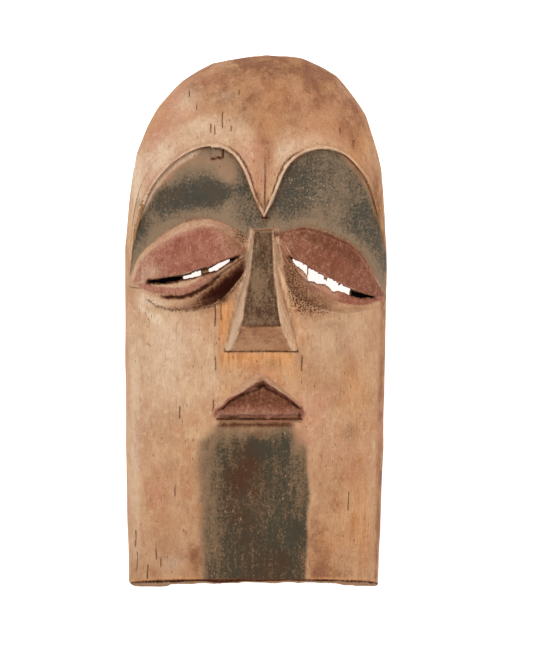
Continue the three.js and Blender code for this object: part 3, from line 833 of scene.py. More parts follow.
def crown_flats(x, y):
    """The flats that the adze left round the crown, deepest halfway between their corners."""
    corners = np.array(CROWN_CORNERS, float)
    angle = np.degrees(np.arctan2((y - SPRING_Y) / (CROWN_Y - SPRING_Y), (x - crown_lean(y)) / HALF_WIDTH))
    i = np.clip(np.searchsorted(corners, angle) - 1, 0, len(corners) - 2)
    half = np.radians(corners[i + 1] - corners[i]) / 2
    off = np.radians(angle - (corners[i] + corners[i + 1]) / 2)
    flats = FLAT_RADIUS * (np.cos(half) / np.cos(np.clip(off, -half, half)) - 1)
    return np.where(y > SPRING_Y, flats, 0) * smooth((reach(x, y) - 0.72) / 0.2)


def tool_marks(places, outer, zone):
    """How far the surface stands out from its plain shape, in millimetres, from tools, wear and cracks."""
    x, y, z = places.T
    relief = 0.14 * unevenness(places, (13, 19, 13)) + 0.05 * unevenness(places, (3, 11, 3))
    relief += CUT_DEPTH * (dished(x + 0.8 * z, y, 9, 17, 3) - 0.45)
    relief += crown_flats(x, y)
    pocked = 0.13 * unevenness(places, (1.6, 1.9, 1.6)) + 0.1 * unevenness(places, (4, 5, 4))
    relief += pocked * inside(zone["socket"], 1)
    relief += 0.08 * unevenness(places, (1.8, 2.2, 1.8)) * inside(zone["under_eye"], 1)
    pits = np.maximum(0, unevenness(places + 20, (0.8, 0.9, 0.8)) - 0.25)
    relief -= PECK_DEPTH * pecked(x, y, zone) * pits
    relief += ovals(x, y, LUMP_IN_GROOVE)
    bead, behind = bead_at(x, y, zone)
    relief += BEAD_HEIGHT * bead - BEHIND_BEAD_DEPTH * behind
    relief -= FOREHEAD_GROOVE_DEPTH * groove_at(x, y) + CRACK_DEPTH * cracks_at(x, y)
    left, right, low = BROW_CHIP
    chip = least(x - left, right - x, y - low, zone["brow"])
    step = least(x - right - 0.3, -10.4 - x, y - 66, zone["brow"])
    relief += CHIP_HEIGHT * inside(chip, 0.5) + CHIP_STEP_HEIGHT * inside(step, 0.8)
    gouged = GOUGE_DEPTH * (dished(x, y, 8.5, 24, 11) - 0.5) + 0.2 * unevenness(places, (9, 14, 9))
    return np.where(outer > 0.5, relief, gouged)


def read(items, name, size=1, kind=np.float32):
    """One value, or a row of them, for each vertex, edge, corner or face."""
    values = np.empty(len(items) * size, kind)
    items.foreach_get(name, values)
    return values.reshape(-1, size) if size > 1 else values


def wear_edges(mesh, places):
    """Rubs down the sharp edges that stand out, more in some places than in others."""
    a, b = read(mesh.edges, "vertices", 2, np.int32).T
    count = np.bincount(a, minlength=len(places)) + np.bincount(b, minlength=len(places))
    normals = read(mesh.vertex_normals, "vector", 3)
    for _ in range(2):
        total = np.zeros_like(places)
        np.add.at(total, a, places[b])
        np.add.at(total, b, places[a])
        inward = np.sum((total / count[:, None] - places) * normals, axis=1)
        rubbed = np.minimum(0, inward + 0.03) * mix(0.25, 0.8, smooth(unevenness(places, (6, 8, 6)) + 0.5))
        places = places + normals * np.maximum(rubbed, -0.35)[:, None]
    return places


# Paint, clay, bare wood, dirt and painted shade, as the amount of each on every point of the surface. The
# spots are soft ovals where a hand left more of it, or less, than round about, or where painted shade lies
# deeper: how much more, middle x and y, half width, half height and turn in degrees
SPOTS = {
    "black_left": [(0.85, -20, 52.3, 13, 4.4, 8), (0.3, -38, 49, 9, 6, 25), (0.3, -48.5, 37, 4, 12, 10),
        (0.06, -4, 46, 7, 9, 0), (-0.36, -10, 53, 4, 9, 0), (-0.4, -40.5, 57.5, 3.5, 12, -40),
        (-0.3, -12.5, 60, 4, 6, 0), (-0.2, -44, 43, 5, 8, 0), (-0.32, -22, 66, 15, 5, 0),
        (-0.2, -36, 58, 7, 4, 35), (-0.05, -24, 45, 12, 3, 5)],
    "black_right": [(0.3, 15.5, 57, 7, 12, -15), (0.18, 45, 40, 6, 13, 15), (-0.13, 33, 67, 9, 3.5, -10),
        (-0.25, 17, 66, 4, 3, 30), (-0.1, 26, 44, 14, 4, 0), (-0.16, 8, 40, 4, 5, 0),
        (-0.12, 36, 52, 8, 8, 0)],
    "beard": [(0.9, 1, -52.8, 4.5, 3.2, 0), (0.25, 11, -50.5, 3, 4, 0), (0.16, -5, -62, 7, 12, 0),
        (0.1, 11, -66, 6, 24, 0), (0.2, 2, -98, 16, 14, 0), (0.35, 17, -87, 2.5, 3, 0),
        (0.3, -4, -90, 4, 1.5, 30), (-0.42, 0, -43, 19, 5.5, 0), (-0.28, -21, -62, 6, 24, 0),
        (-0.2, -17, -90, 4, 22, 0), (-0.35, 17.5, -50, 4, 9, 0), (-0.2, 17.5, -68, 4, 12, 0),
        (-0.12, -12, -48.5, 9, 5, 0)],
    "nose_front": [(0.16, 0, 11, 4, 5, 0), (0.12, 2, 4, 5, 3, 0), (0.2, 3, 25, 3, 8, 0),
        (0.2, 6, 10, 2.5, 8, 0), (-0.2, 1.5, 14, 3, 7, 0)],
    "red_left_lid": [(0.25, -31, 25.5, 9, 5, 15), (-0.42, -42, 19.5, 8, 5, 20), (-0.25, -44.5, 26, 4, 4, 0)],
    "red_right_lid": [(-0.2, 46, 15, 6, 5, -30), (-0.4, 13, 30, 6, 7, 0), (0.15, 38, 24, 8, 8, 0)],
    "rosy_wood": [(0.2, -49, -45, 3, 45, 0), (0.14, 40, -45, 6, 20, 0), (0.3, -34, 5.5, 13, 1.6, 0),
        (0.35, 2.5, -45.5, 3, 3, 0), (0.2, -28, -72, 8, 22, 0), (0.16, 43, -62, 5, 8, 40),
        (0.3, 24, 101, 7, 4, -20), (0.2, -20, 99, 14, 4, 20), (0.1, 4, 84, 14, 14, 0),
        (0.5, 21.5, 13.5, 3, 3, 0), (0.06, -44, 80, 6, 14, 30), (0.3, -8, -29.5, 5, 1.5, 35)],
    "clay_over_brows": [(0.2, -22, 79, 16, 7, 5), (0.25, 11, 70, 4, 8, -40), (-0.25, 38, 74, 12, 8, -20),
        (-0.35, 3.5, 64, 4, 14, 0)],
    "clay_on_cheeks": [(0.4, -36, -7, 17, 16, 0), (0.28, 34, -7, 16, 14, 0), (0.28, -36, -30, 16, 18, 0),
        (0.2, 36, -98, 10, 6, 0), (0.15, -38, -96, 10, 10, 0), (0.4, -50, -55, 3, 45, 0),
        (0.12, 32, -45, 16, 14, 0), (0.2, -18, -22, 3, 10, 0), (0.5, -42.5, 1.5, 1.2, 7, 45),
        (0.5, -45.5, 3.5, 0.7, 5, 50), (0.4, -39, 1, 0.6, 6, 40)],
    "clay_showing": [(1, 21.8, 15.2, 2, 1.3, -35), (0.7, -50, 50, 3, 24, 0), (0.5, -46, 9, 5, 5, 0),
        (0.5, -12, 92, 5, 4, 20), (0.5, -34, -99, 6, 5, 0), (0.5, 0, 106, 30, 2, 0),
        (0.5, -14, 21.5, 6, 0.8, 20), (0.66, -39, 67, 8, 14, -38), (0.4, -45, -40, 4, 8, 0),
        (0.4, -29, 89, 8, 6, 20), (0.3, 3, 62, 4, 7, 0), (0.35, -26, 95, 5, 4, 0),
        (0.7, -45, 19.5, 8, 4, 25), (0.6, -40, 7.5, 6, 2, -10)],
    "fresh_wood": [(0.4, 41, -28, 9, 20, 0), (0.3, 30, -92, 6, 14, 0), (0.4, 44, 72, 7, 20, -25),
        (0.3, 28, 80, 9, 8, 0), (0.35, 8, 92, 8, 8, 0), (0.22, 17.5, -6, 2.5, 9, 0),
        (0.3, 44, -90, 6, 24, 0), (0.4, -11, -29, 4, 2.5, 35), (0.3, -42, 84, 8, 8, 0),
        (0.3, 5, 80, 7, 6, 0), (0.3, 40, -75, 9, 28, 0), (0.22, -40, -80, 10, 24, 0),
        (0.3, 2, -11.5, 14, 2.5, 0), (0.3, 10, -22, 8, 4, 0), (0.25, 16.5, -20, 3, 6, 0),
        (0.6, 12, 8, 2.5, 16, 8), (0.3, 2, -20, 12, 4, 0)],
    # dark brown by the inner corner of the left eye: partly dirt, partly painted shade in the hollow
    "dirt_under_left_eye": [(0.85, -11.5, 15.5, 4, 5.5, -30), (0.6, -20, 10.5, 9, 3, 25),
        (0.5, -17, 10.5, 6, 2.5, 28)],
    "dirt_on_lips": [(0.7, -10, -39.6, 4, 1, 0), (0.9, 2.4, -27, 3, 1.4, 0), (0.5, 2.2, -24.5, 2, 1.5, 0),
        (0.5, 12, -34.5, 4, 1.2, -30)],
    "dirt_at_bags": [(0.5, -49.5, 13.6, 4, 0.4, -8), (0.25, 30, -2, 8, 3, 0)],
    "dirt_here_and_there": [(0.65, 8.2, 35.5, 2.5, 2, 0), (0.85, -13, -107.5, 6, 1.4, 0),
        (0.3, -7.4, -6.5, 1.2, 3.5, 10), (0.2, 4, 103, 16, 3, 0), (0.2, -10.7, 103, 5, 2.5, 10),
        (0.3, -21, 3.8, 5, 1.4, 8), (0.3, 24, 100.5, 6, 3.5, -30), (0.22, 9.5, 103.8, 4, 2.5, 0),
        (0.28, 8, 22, 0.8, 6, -6), (0.3, 7, -17, 3.5, 3, 0), (0.4, 1.2, -46.3, 2.5, 2.5, 0),
        (0.3, -6.6, -4.2, 1, 3, 14), (0.32, 38, -46, 5, 6, 0), (0.3, -4.6, 3, 1, 6, 15)],
    "dirt_round_left_lid": [(0.6, -19, 6.6, 6, 1.6, 15), (0.7, -13.5, 10, 3, 2.5, 35),
        (0.2, -6, 34, 3.5, 2.5, -40), (0.42, -13, 37.3, 5, 1.8, -18), (0.34, -25, 41.8, 5, 1.5, 8),
        (0.36, -10, 31, 7, 4, 25)],
    # stain with painted shade on the crown, where the surface turns away from the light
    "stain_and_shade_on_crown": [(1.2, 12, 110, 25, 6, 0), (0.65, 25, 99.5, 8, 6, -30), (0.1, -24, 92, 12, 9, 20),
        (0.45, 3.7, 64, 4, 14, 0), (0.18, 2, 88, 18, 8, 0), (0.3, 34, 80, 8, 10, 0)],
    "stain_on_face": [(0.45, -7, 33, 5, 5, 0), (0.25, 18, 14, 9, 14, 0), (0.4, 38, 5, 10, 4, 0),
        (0.4, -36, -100, 24, 16, 0), (0.5, 36, -98, 20, 18, 0), (0.34, 36, -66, 16, 16, 0),
        (0.22, -36, -72, 16, 14, 0), (0.5, 26, -88, 5, 8, 0), (0.45, 24, -100, 5, 6, 0),
        (0.5, 24, 2, 5, 4, 0), (0.4, 31, -104, 7, 4, 0), (0.55, -24.5, -97, 3, 9, 0),
        (0.55, 39, 89, 6, 7, -40), (0.4, 43, 78, 5, 9, -35), (0.7, 0.6, 50, 2, 7, 14),
        (0.55, 50, 55, 4, 19, 0), (0.4, 39, 79, 9, 16, 30), (0.5, 2, -18, 12, 4, 0), (0.4, 18, -12, 3, 6, 0)],
    # stain with painted shade along the edges, where the surface turns away from the light
    "stain_and_shade_on_edges": [(0.35, 0, -108, 70, 2.5, 0), (0.3, 46, -100, 8, 14, 0), (0.3, 51, -60, 2, 50, 0),
        (0.4, 34, -14, 16, 26, 0), (0.8, -5, -68, 10, 22, 0), (0.5, 6, -100, 14, 9, 0),
        (0.5, -2.5, 59, 1.5, 6, 25), (0.8, 0, 102.5, 16, 3.5, 0), (0.5, -50, -102, 3, 8, 0)],
    "pecked": [(1, 16, 15, 6, 14, 10), (0.8, 23, 6, 10, 5, -20), (0.6, 33, 3, 10, 2.5, -8),
        (0.5, 12.5, 28, 4, 8, 0), (1.25, -6.5, 34.5, 5, 3.5, -40), (1.15, -16, 8, 8, 2.4, 28),
        (0.7, 12, -24, 8, 3, -40), (0.6, -10, -24, 6, 3, 40), (0.5, -7, 63, 3, 7, 30),
        (0.5, 12, 62, 3, 7, -25), (0.5, -17, -15, 2, 5, 0)],
    "speckled": [(0.6, 22, 54, 20, 13, -20), (0.2, -30, 50, 20, 10, 0)],
}


def spots(name, x, y):
    return ovals(x, y, SPOTS[name])


def shelter(x, y, radius):
    """How much higher the face stands round about a point than at it: below 0 on a ridge."""
    turns = np.arange(8) * math.pi / 4
    around = [face_height(x + radius * math.cos(turn), y + radius * math.sin(turn)) for turn in turns]
    return (sum(around) / 8 - face_height(x, y)) * smooth((0.95 - reach(x, y)) / 0.1)


def nose_sides(zone):
    off_ridge = 1 - inside(zone["ridge"] + 0.2, 0.8)
    return inside(zone["nose"], 1) * off_ridge * (1 - inside(zone["nose_end"], 0.8))


def black_paint(x, y, zone):
    """Black on the sockets, worn thin under the brows and above the lids, and run over the right edge."""
    above_lid = mix(0.58, 1, smooth((-zone["lid_top"] - 0.5) / 7))
    thick = np.where(zone["left"], 0.56 + spots("black_left", x, y), 0.6 + spots("black_right", x, y))
    thick = np.maximum(thick * above_lid, np.where(zone["left"], 0.25, 0.32))
    rubbed_rim = np.maximum(inside(-23 - x, 8), inside(x - 36, 6)) * inside(y - 44, 10)
    border = inside(zone["socket"] - mix(0.3, 2.0, rubbed_rim), mix(0.9, 3.6, rubbed_rim))
    return most(border * thick, 0.6 * inside(x - 51.6, 1) * inside(4.5 - np.abs(y - 24.5), 3))


def beard_paint(x, y, zone):
    """Brown-black on the beard, softer at its left border, and on the front of the nose."""
    softness = np.where(x < 0, 7.0, 2.8 + 3.5 * smooth((y + 57) / 9))
    beard = inside(zone["beard"] - 0.6, softness) * inside(CHIN_EDGE_Y - 0.4 - y, 1.6)
    nose = inside(zone["ridge"] - 0.3, 0.9) * smooth((y + 4.2) / 2.4)
    on_nose = 0.52 + 0.3 * smooth(1 - zone["ridge"] / 2.2) + spots("nose_front", x, y)
    return most(beard * (0.72 + spots("beard", x, y)), nose * on_nose)


def red_paint(x, y, zone):
    """Red on the lids and lips, thin towards the left eye's inner corner, with a rosy bloom on the wood."""
    left = zone["left"]
    toward_nose = smooth((x + 19) / 12)
    from_left_end = smooth((x + 46) / 14)
    left_border = inside(zone["lid_top"] - mix(1.3, 3.0, from_left_end), mix(2.6, 5.2, from_left_end))
    left_lid = left_border * (0.74 - 0.42 * toward_nose + spots("red_left_lid", x, y))
    right_lid = inside(zone["lid_top"] - 0.1, 1.2) * (0.9 + spots("red_right_lid", x, y))
    low_on_left = (0.6 - 0.25 * toward_nose) * inside(1.6 - np.abs(zone["lid_bottom"] + 2.2), 1.6)
    return most(
        inside(zone["lid"], 0.8) * np.where(left, left_lid, right_lid),
        inside(zone["lower_lid"] + 0.3, 1.5) * np.where(left, low_on_left, 0.4 + 0.42 * smooth((x - 30) / 8)),
        0.8 * inside(zone["inner_lip"], 0.8),
        inside(zone["lower_lip"] + 1.4, 1) * (0.9 - 0.4 * smooth((-34.5 - y) / 3)),
        0.2 * inside(zone["upper_lip"], 0.8),
        spots("rosy_wood", x, y) * (1 - inside(zone["beard"], 3)),
    )


def white_clay(x, y, zone):
    """White clay over the brows and on the cheeks, nose and lip, and where the other paints wore off it."""
    above_brow = -zone["brow"]
    reach_up = np.where(zone["left"], 10 + ovals(x, y, [(5, -20, 78, 14, 20, 0)]), 7.5)
    band = inside(reach_up - above_brow, 8) * inside(above_brow, 0.6) * smooth((44 - np.abs(x)) / 12)
    rubbed_rim = inside(1.4 - np.abs(zone["brow"] - 1), 1.4) * inside(-23 - x, 8) * inside(y - 44, 10)
    round_left_lid = inside(np.minimum(zone["lid_top"], -zone["lid_bottom"]), 2) * zone["left"]
    return most(
        band * (0.3 + spots("clay_over_brows", x, y)),
        0.8 * bead_at(x, y, zone)[0],
        0.7 * rubbed_rim,
        0.35 * round_left_lid,
        # more clay on the right side of the nose: painted light on the side that turns from the key light
        nose_sides(zone) * np.where(x < 0, 0.85, 1.1),
        0.35 * inside(zone["upper_lip"], 0.8),
        inside(zone["lid_bottom"], 1) * (0.08 + spots("clay_on_cheeks", x, y)),
        spots("clay_showing", x, y),
    )


def bare_wood(x, y, zone):
    """Orange wood where the carver went back over the ground beside and below the nose."""
    beside = inside(least(x - FIELD_LEFT - 1.2, foot_left(y) - x + 0.4, y + 14), 2)
    under = inside(least(x - FIELD_LEFT - 1, 15.5 - x, NOSE_FOOT_Y - 0.3 - y), 2.2)
    return most(
        beside * smooth((11 - y) / 6) * mix(0.85, 0.35, smooth((-4 - y) / 8)),
        under * mix(0.85, 0.15, smooth((-13.5 - y) / 10)),
        # more bare orange wood on the right side of the nose: painted light on the side that turns from the
        # key light
        nose_sides(zone) * np.where(x < 0, 0.34, 0.5),
        spots("fresh_wood", x, y),
    )


def dirt_round_eyes(x, y, zone):
    # Dirt round the eyes, with painted shade: a thin shadow line under the brows and shade in the hollows
    # under the left eye
    left = zone["left"]
    under_left_dirt_and_shade = smooth((x + 41) / 34) * mix(0.45, 1.15, smooth((zone["lid_bottom"] + 0.3) / 5))
    on_lid = np.where(left, 0.1, 0.4 + 0.14 * smooth((zone["slit"] + 7) / -4))
    middle = inside(50.5 - np.abs(x), 2) * mix(0.45, 1, smooth((x + 36) / 12))
    under_lid_shade = near(zone["lid_bottom"] - 0.3, 1.1) * inside(x + 39, 6) * inside(-14 - x, 6)
    rim_of_bag = near(zone["cheek"] + 0.1, mix(0.45, 0.9, smooth((x + 33) / 8)))
    return most(
        # dark brown under the left eye, deepest by the nose: partly dirt, partly painted shade in the hollow
        inside(zone["under_eye"] + 0.8, 3) * under_left_dirt_and_shade * left,
        0.45 * inside(zone["under_eye"], 2) * smooth((42 - x) / 16) * ~left,
        inside(zone["lid"], 1) * on_lid,
        0.5 * inside(zone["lower_lid"], 1) * smooth((x + 26) / 14) * left,
        # painted shadow in a thin line just under the brow's edge
        0.45 * near(zone["brow"] - 0.3, 0.5) * middle,
        0.2 * near(zone["lid_top"] + 0.8, 0.9) * middle,
        0.5 * near(zone["lid_top"], 0.7) * inside(x - 6, 2) * inside(50 - x, 4),
        # painted shade in the hollow under the left lower lid
        0.95 * under_lid_shade * inside(zone["lid_bottom"] + 3, 1),
        0.85 * rim_of_bag * inside(x + 45, 3) * inside(-12 - x, 4),
    )


def dirt_at_mouth(x, y, zone):
    # Dirt at the mouth, with a painted shadow in the groove under the lower lip
    fold_ends = inside(np.minimum(x + 14.5, 18 - x), 3)
    groove_ends = inside(np.minimum(x - MOUTH_LEFT - 0.6, MOUTH_RIGHT - 0.4 - x), 0.8)
    return most(
        0.85 * near(zone["fold"], 0.5) * inside(-25.5 - y, 3) * fold_ends,
        # painted shadow along the groove, where the lower lip turns under
        0.72 * near(y - GROOVE_Y - 0.1, 0.6) * groove_ends,
        0.3 * inside(zone["inner_lip"], 0.8),
        inside(zone["lower_lip"] + 0.6, 0.8) * (0.58 - 0.18 * smooth((-33.5 - y) / 3)),
        0.2 * inside(zone["upper_lip"], 0.8) * smooth((x - 3) / 4),
        0.75 * near(y + 42.5, 1.3) * inside(15.5 - np.abs(x), 4),
        ovals(x, y, [(0.8, 17.8, -38.4, 1.2, 2, 0)]),
    )


def dirt_in_cuts(x, y, zone):
    left, right, low = BROW_CHIP
    # painted shadow down the broken side of the chip under the left brow and along its foot
    chip_side_shadow = near(x - right, 0.4) * inside(y - low, 0.5)
    chip_foot_shadow = near(y - low - 0.1 * (x - left), 0.45) * inside(x - left, 1.5) * inside(right - x, 0.5)
    cut = np.minimum(1.6 - np.abs(x - 3.6), 0.5 - np.abs(y - 42.2))
    lower_cut = np.minimum(1.3 - np.abs(x - 3.6), 0.35 - np.abs(y - 40.4))
    tip = near(y - NOSE_TIP_Y - 0.4 - 0.05 * x, 0.7) * inside(6.4 - np.abs(x - 2.1), 2)
    foot = near(zone["nose"], 0.45) * mix(0.4, 0.75, inside(1 - np.abs(y - NOSE_FOOT_Y), 0.6))
    return most(
        np.maximum(chip_side_shadow, chip_foot_shadow) * (zone["brow"] > -0.2),
        0.9 * inside(cut, 0.6),
        0.63 * inside(lower_cut, 0.6),
        0.75 * groove_at(x, y) + 0.72 * cracks_at(x, y),
        0.75 * bead_at(x, y, zone)[1],
        0.72 * tip,
        foot * inside(y - NOSE_FOOT_Y + 1, 1),
    )


def dirt(x, y, zone):
    """Dark dirt in cuts and cracks and in worn patches, and dirt with painted shade in the creases of the
    eyes, mouth and nose.
    """
    patches = [spots(name, x, y) for name in SPOTS if name.startswith("dirt_")]
    beside_nose = ovals(x, y, [(0.45, 19, 11, 6, 9, 45), (0.1, 12, 28, 3, 6, 0)]) * inside(-zone["nose"], 1)
    carved = [part(x, y, zone) for part in (dirt_round_eyes, dirt_at_mouth, dirt_in_cuts)]
    return most(*patches, beside_nose, *carved)


def stain_and_shade(x, y, zone):
    """Brown handling stain, down from the crown to a point between the brows and along the edges, with
    painted shade on the crown and towards the right edge, where the surface turns from the light.
    """
    fall = 72 + np.abs(x - 5) * 0.6
    on_lid = mix(0.1, 0.95, smooth((x + 24) / 12)) * smooth((zone["lid_top"] - 1) / 3)
    # stain with painted shade, darker out to the right edge
    right_edge_stain_and_shade = smooth((reach(x, y) - 0.91) / 0.06) * (x > 0)
    return most(
        0.42 * inside(y - fall, 12) + spots("stain_and_shade_on_crown", x, y),
        inside(zone["lid"], 1.5) * on_lid * zone["left"],
        0.62 * right_edge_stain_and_shade * inside(34 - y, 12),
        mix(0.6, 0.3, smooth((-4.5 - y) / 6)) * inside(zone["nose_end"], 1),
        0.75 * inside(zone["ridge"], 0.8),
        spots("stain_on_face", x, y),
        spots("stain_and_shade_on_edges", x, y),
    )


def pecked(x, y, zone):
    """Where the knife's point left small dark pits."""
    above_lids = 0.75 * near(zone["lid_top"] + 0.4, 1.8) * inside(zone["brow"], 2)
    on_bag_rim = 1.05 * near(zone["cheek"] + 0.4, 1.3)
    return most(
        spots("pecked", x, y) * inside(-zone["nose"], 1) * inside(-zone["slit"], 1),
        above_lids * inside(45 - np.abs(x), 4),
        on_bag_rim * inside(x + 46, 4) * inside(-12 - x, 4),
        0.56 * inside(zone["lid"], 1),
    )


def layers(places, zone):
    """The amount of each coat, with paint worn off the ridges down to the clay, and dirt with painted shade
    in the recesses.
    """
    x, y, z = places.T
    from_end = y - CHIN_Y - END_SLOPE * z
    at_tip = inside(1.6 - np.abs(y - NOSE_TIP_Y), 1) * (zone["nose"] > 1)
    kept_whole = np.maximum(inside(zone["mouth"] + 1, 1), at_tip)
    ridges = smooth(-shelter(x, y, 0.9) / 0.45) * (1 - 0.9 * kept_whole)
    # Painted shade, with some real dark patina: darker where the face stands higher round about
    recess_shade_and_dirt = smooth(shelter(x, y, 2.4) / 1.8)
    black = black_paint(x, y, zone) * (1 - 0.75 * ridges)
    beard = beard_paint(x, y, zone) * (1 - 0.75 * ridges)
    unpainted = 1 - np.clip(np.maximum(black, beard), 0, 1)
    clay_on_ridges = np.where(zone["lid"] > -1.6, 0.15, 0.5) * ridges * smooth((0.9 - reach(x, y)) / 0.08)
    return {
        "black_paint": black,
        "beard_paint": beard,
        "red_paint": red_paint(x, y, zone) * (1 - 0.6 * ridges),
        "white_clay": most(white_clay(x, y, zone) * unpainted, clay_on_ridges),
        "bare_wood": most(bare_wood(x, y, zone), 0.6 * inside(2.2 - from_end, 1.6)) * unpainted,
        "dirt": most(
            dirt(x, y, zone) * (1 - 0.6 * ridges),
            # painted shadow along the worn, rounded edge of the chin end
            0.9 * inside(1.1 - from_end, 0.8),
            # painted shadow round the cut edges of the slits, stronger on the left eye
            np.where(zone["left"], 0.85, 0.58) * inside(zone["slit_wall"] + 0.45, 1.3),
            # painted shade and patina in the recesses outside the sockets
            0.3 * recess_shade_and_dirt * inside(-zone["socket"], 1),
        ),
        "stain_and_shade": stain_and_shade(x, y, zone),
        "pecked": pecked(x, y, zone),
        "speckled": inside(zone["socket"], 1) * (0.5 + spots("speckled", x, y)),
        "in_slit": inside(zone["slit_wall"], 0.4),
    }


def at_corners(mesh, depth):
    """Depth at each face's corners, so that the rim below and the chin end are bare up to their edges."""
    facing, middles = read(mesh.polygons, "normal", 3), read(mesh.polygons, "center", 3)
    bare = (facing[:, 2] < -0.9) | ((facing[:, 1] < -0.9) & (middles[:, 1] < (CHIN_Y + 6) * MM))
    corners = read(mesh.loops, "vertex_index", 1, np.int32)
    counts = read(mesh.polygons, "loop_total", 1, np.int32)
    return np.maximum(depth[corners], 3.0 * np.repeat(bare, counts))


def keep(mesh, name, domain, values):
    mesh.attributes.new(name, "FLOAT", domain).data.foreach_set("value", values.astype(np.float32))


def move_points(mesh, places):
    mesh.vertices.foreach_set("co", places.astype(np.float32).ravel())
    mesh.update()


def dress_mask():
    """The carved block with its tool marks and wear, in metres, and the amount of each coat on its points."""
    block = carved_block()
    mesh = block.data
    split_along_cracks(mesh)
    places = read(mesh.vertices, "co", 3).astype(float)
    x, y, z = places.T
    depth = np.minimum(face_height(x, y) - z, (1 - reach(x, y)) * HALF_WIDTH)
    outer = np.where(depth < 0.9, 1.0, 0.0)
    wander_x, wander_y = [0.3 * unevenness(places + shift, (1.3, 1.3, 1.3)) for shift in (60, 80)]
    zone = zones(x + wander_x, y + wander_y)
    amounts = layers(places, zone)
    amounts["pecked"] *= outer
    amounts["in_slit"] *= inside(8.5 - depth, 1)
    moved = places + read(mesh.vertex_normals, "vector", 3) * tool_marks(places, outer, zone)[:, None]
    move_points(mesh, moved)
    moved = np.clip(wear_edges(mesh, moved), np.array(cad_low) / MM, np.array(cad_high) / MM)
    moved[:, 2] = np.where(z < 0.01, 0, moved[:, 2])
    move_points(mesh, moved * MM)
    for name, amount in amounts.items():
        keep(mesh, name, "POINT", amount)
    keep(mesh, "depth", "CORNER", at_corners(mesh, depth))
    mesh.update()
    mesh.shade_smooth()
    mesh.set_sharp_from_angle(angle=math.radians(38))
    return block


# Finish
def paint(hex_colour):
    """An sRGB hex colour as linear red, green, blue and alpha."""
    shares = [int(hex_colour[i:i + 2], 16) / 255 for i in (1, 3, 5)]
    return [s / 12.92 if s <= 0.04045 else ((s + 0.055) / 1.055) ** 2.4 for s in shares] + [1.0]


def add(tree, kind, sockets, **settings):
    """Adds a node, with a value or a link for each socket named, and returns it."""
    made = tree.nodes.new("ShaderNode" + kind)
    for name, value in settings.items():
        setattr(made, name, value)
    for name, value in sockets.items():
        if isinstance(value, bpy.types.NodeSocket):
            tree.links.new(value, made.inputs[name])
        else:
            made.inputs[name].default_value = value
    return made


def new_finish(name):
    material = bpy.data.materials.new(name)
    material.use_nodes = True
    material.node_tree.nodes.clear()
    return material, material.node_tree


# Patterns on the wood, as size across the grain, size along it and octaves. Fibres and vessels of a light
# tropical wood are about 0.2 mm across, which is drawn twice as coarse so that it shows in the picture
PATTERNS = {
    "fibre": (0.4, 4.5, 3),
    "streak": (1.4, 12.0, 3),
    "blotch": (11.0, 17.0, 4),
    "cloud": (32.0, 42.0, 3),
    "rubbed": (2.0, 2.8, 5),
    "worn": (5.5, 8.0, 6),
    "grit": (0.75, 0.8, 3),
    "crumbs": (0.8, 0.9, 2),
    "stroke": (3.2, 1.3, 4),
}
VESSEL_CELL = (2.2, 6.5)  # one open vessel in each cell, across and along the grain
CRAZE_CELL = (15.0, 12.0)  # patches between the hair cracks of old stain
PECK_CELL = (0.8, 0.85)
AMOUNTS = ("black_paint", "beard_paint", "red_paint", "white_clay", "bare_wood", "dirt", "stain_and_shade", "pecked",
           "speckled", "in_slit", "depth")

# Each tone is a colour and the colours that vary it. A colour that is laid on is given with what it goes by,
# the patterns that break that up by their weights, where it begins to show and where it covers
TONES = {
    "wood": ["#b58560", ("#c89d77", "blotch", {}, 0.38, 0.62), ("#bd8266", "cloud", {}, 0.46, 0.66),
             ("#b87a4d", "worn", {}, 0.5, 0.72), ("#d8b08c", "rubbed", {}, 0.5, 0.82)],
    "fresh wood": ["#d89b66", ("#bb7d4e", "streak", {}, 0.42, 0.66)],
    "stained wood": ["#a8764f", ("#8c5a40", "worn", {}, 0.4, 0.62), ("#7f604a", "rubbed", {}, 0.55, 0.8)],
    "red earth": ["#ab6e59", ("#8b4738", "worn", {}, 0.3, 0.72), ("#8f5442", "rubbed", {}, 0.45, 0.75),
                  ("#c4917b", "grit", {}, 0.55, 0.85), ("#5e3326", "crumbs", {}, 0.56, 1.0)],
    "grey black": ["#47443b", ("#514638", "worn", {}, 0.42, 0.6), ("#42433b", "blotch", {}, 0.46, 0.66)],
    "brown black": ["#433e31", ("#4e3323", "stain_and_shade", {"worn": 1.6}, 0.1, 0.8),
                    ("#483f30", "blotch", {}, 0.5, 0.7)],
    "open vessel": ["#6f472e", ("#b39472", "beard_paint", {}, 0.2, 0.5)],
    # Inside, the wood is darker, bare and plainly gouged. Deep in the slits it is painted near black, as old
    # soot and as the shade down there
    "gouged wood": ["#ab8058", ("#8a6242", "streak", {}, 0.35, 0.7), ("#6b4a31", "fibre", {}, 0.55, 0.85),
                    ("#120a06", "soot_and_shade", {}, 1.0, 4.0)],
}
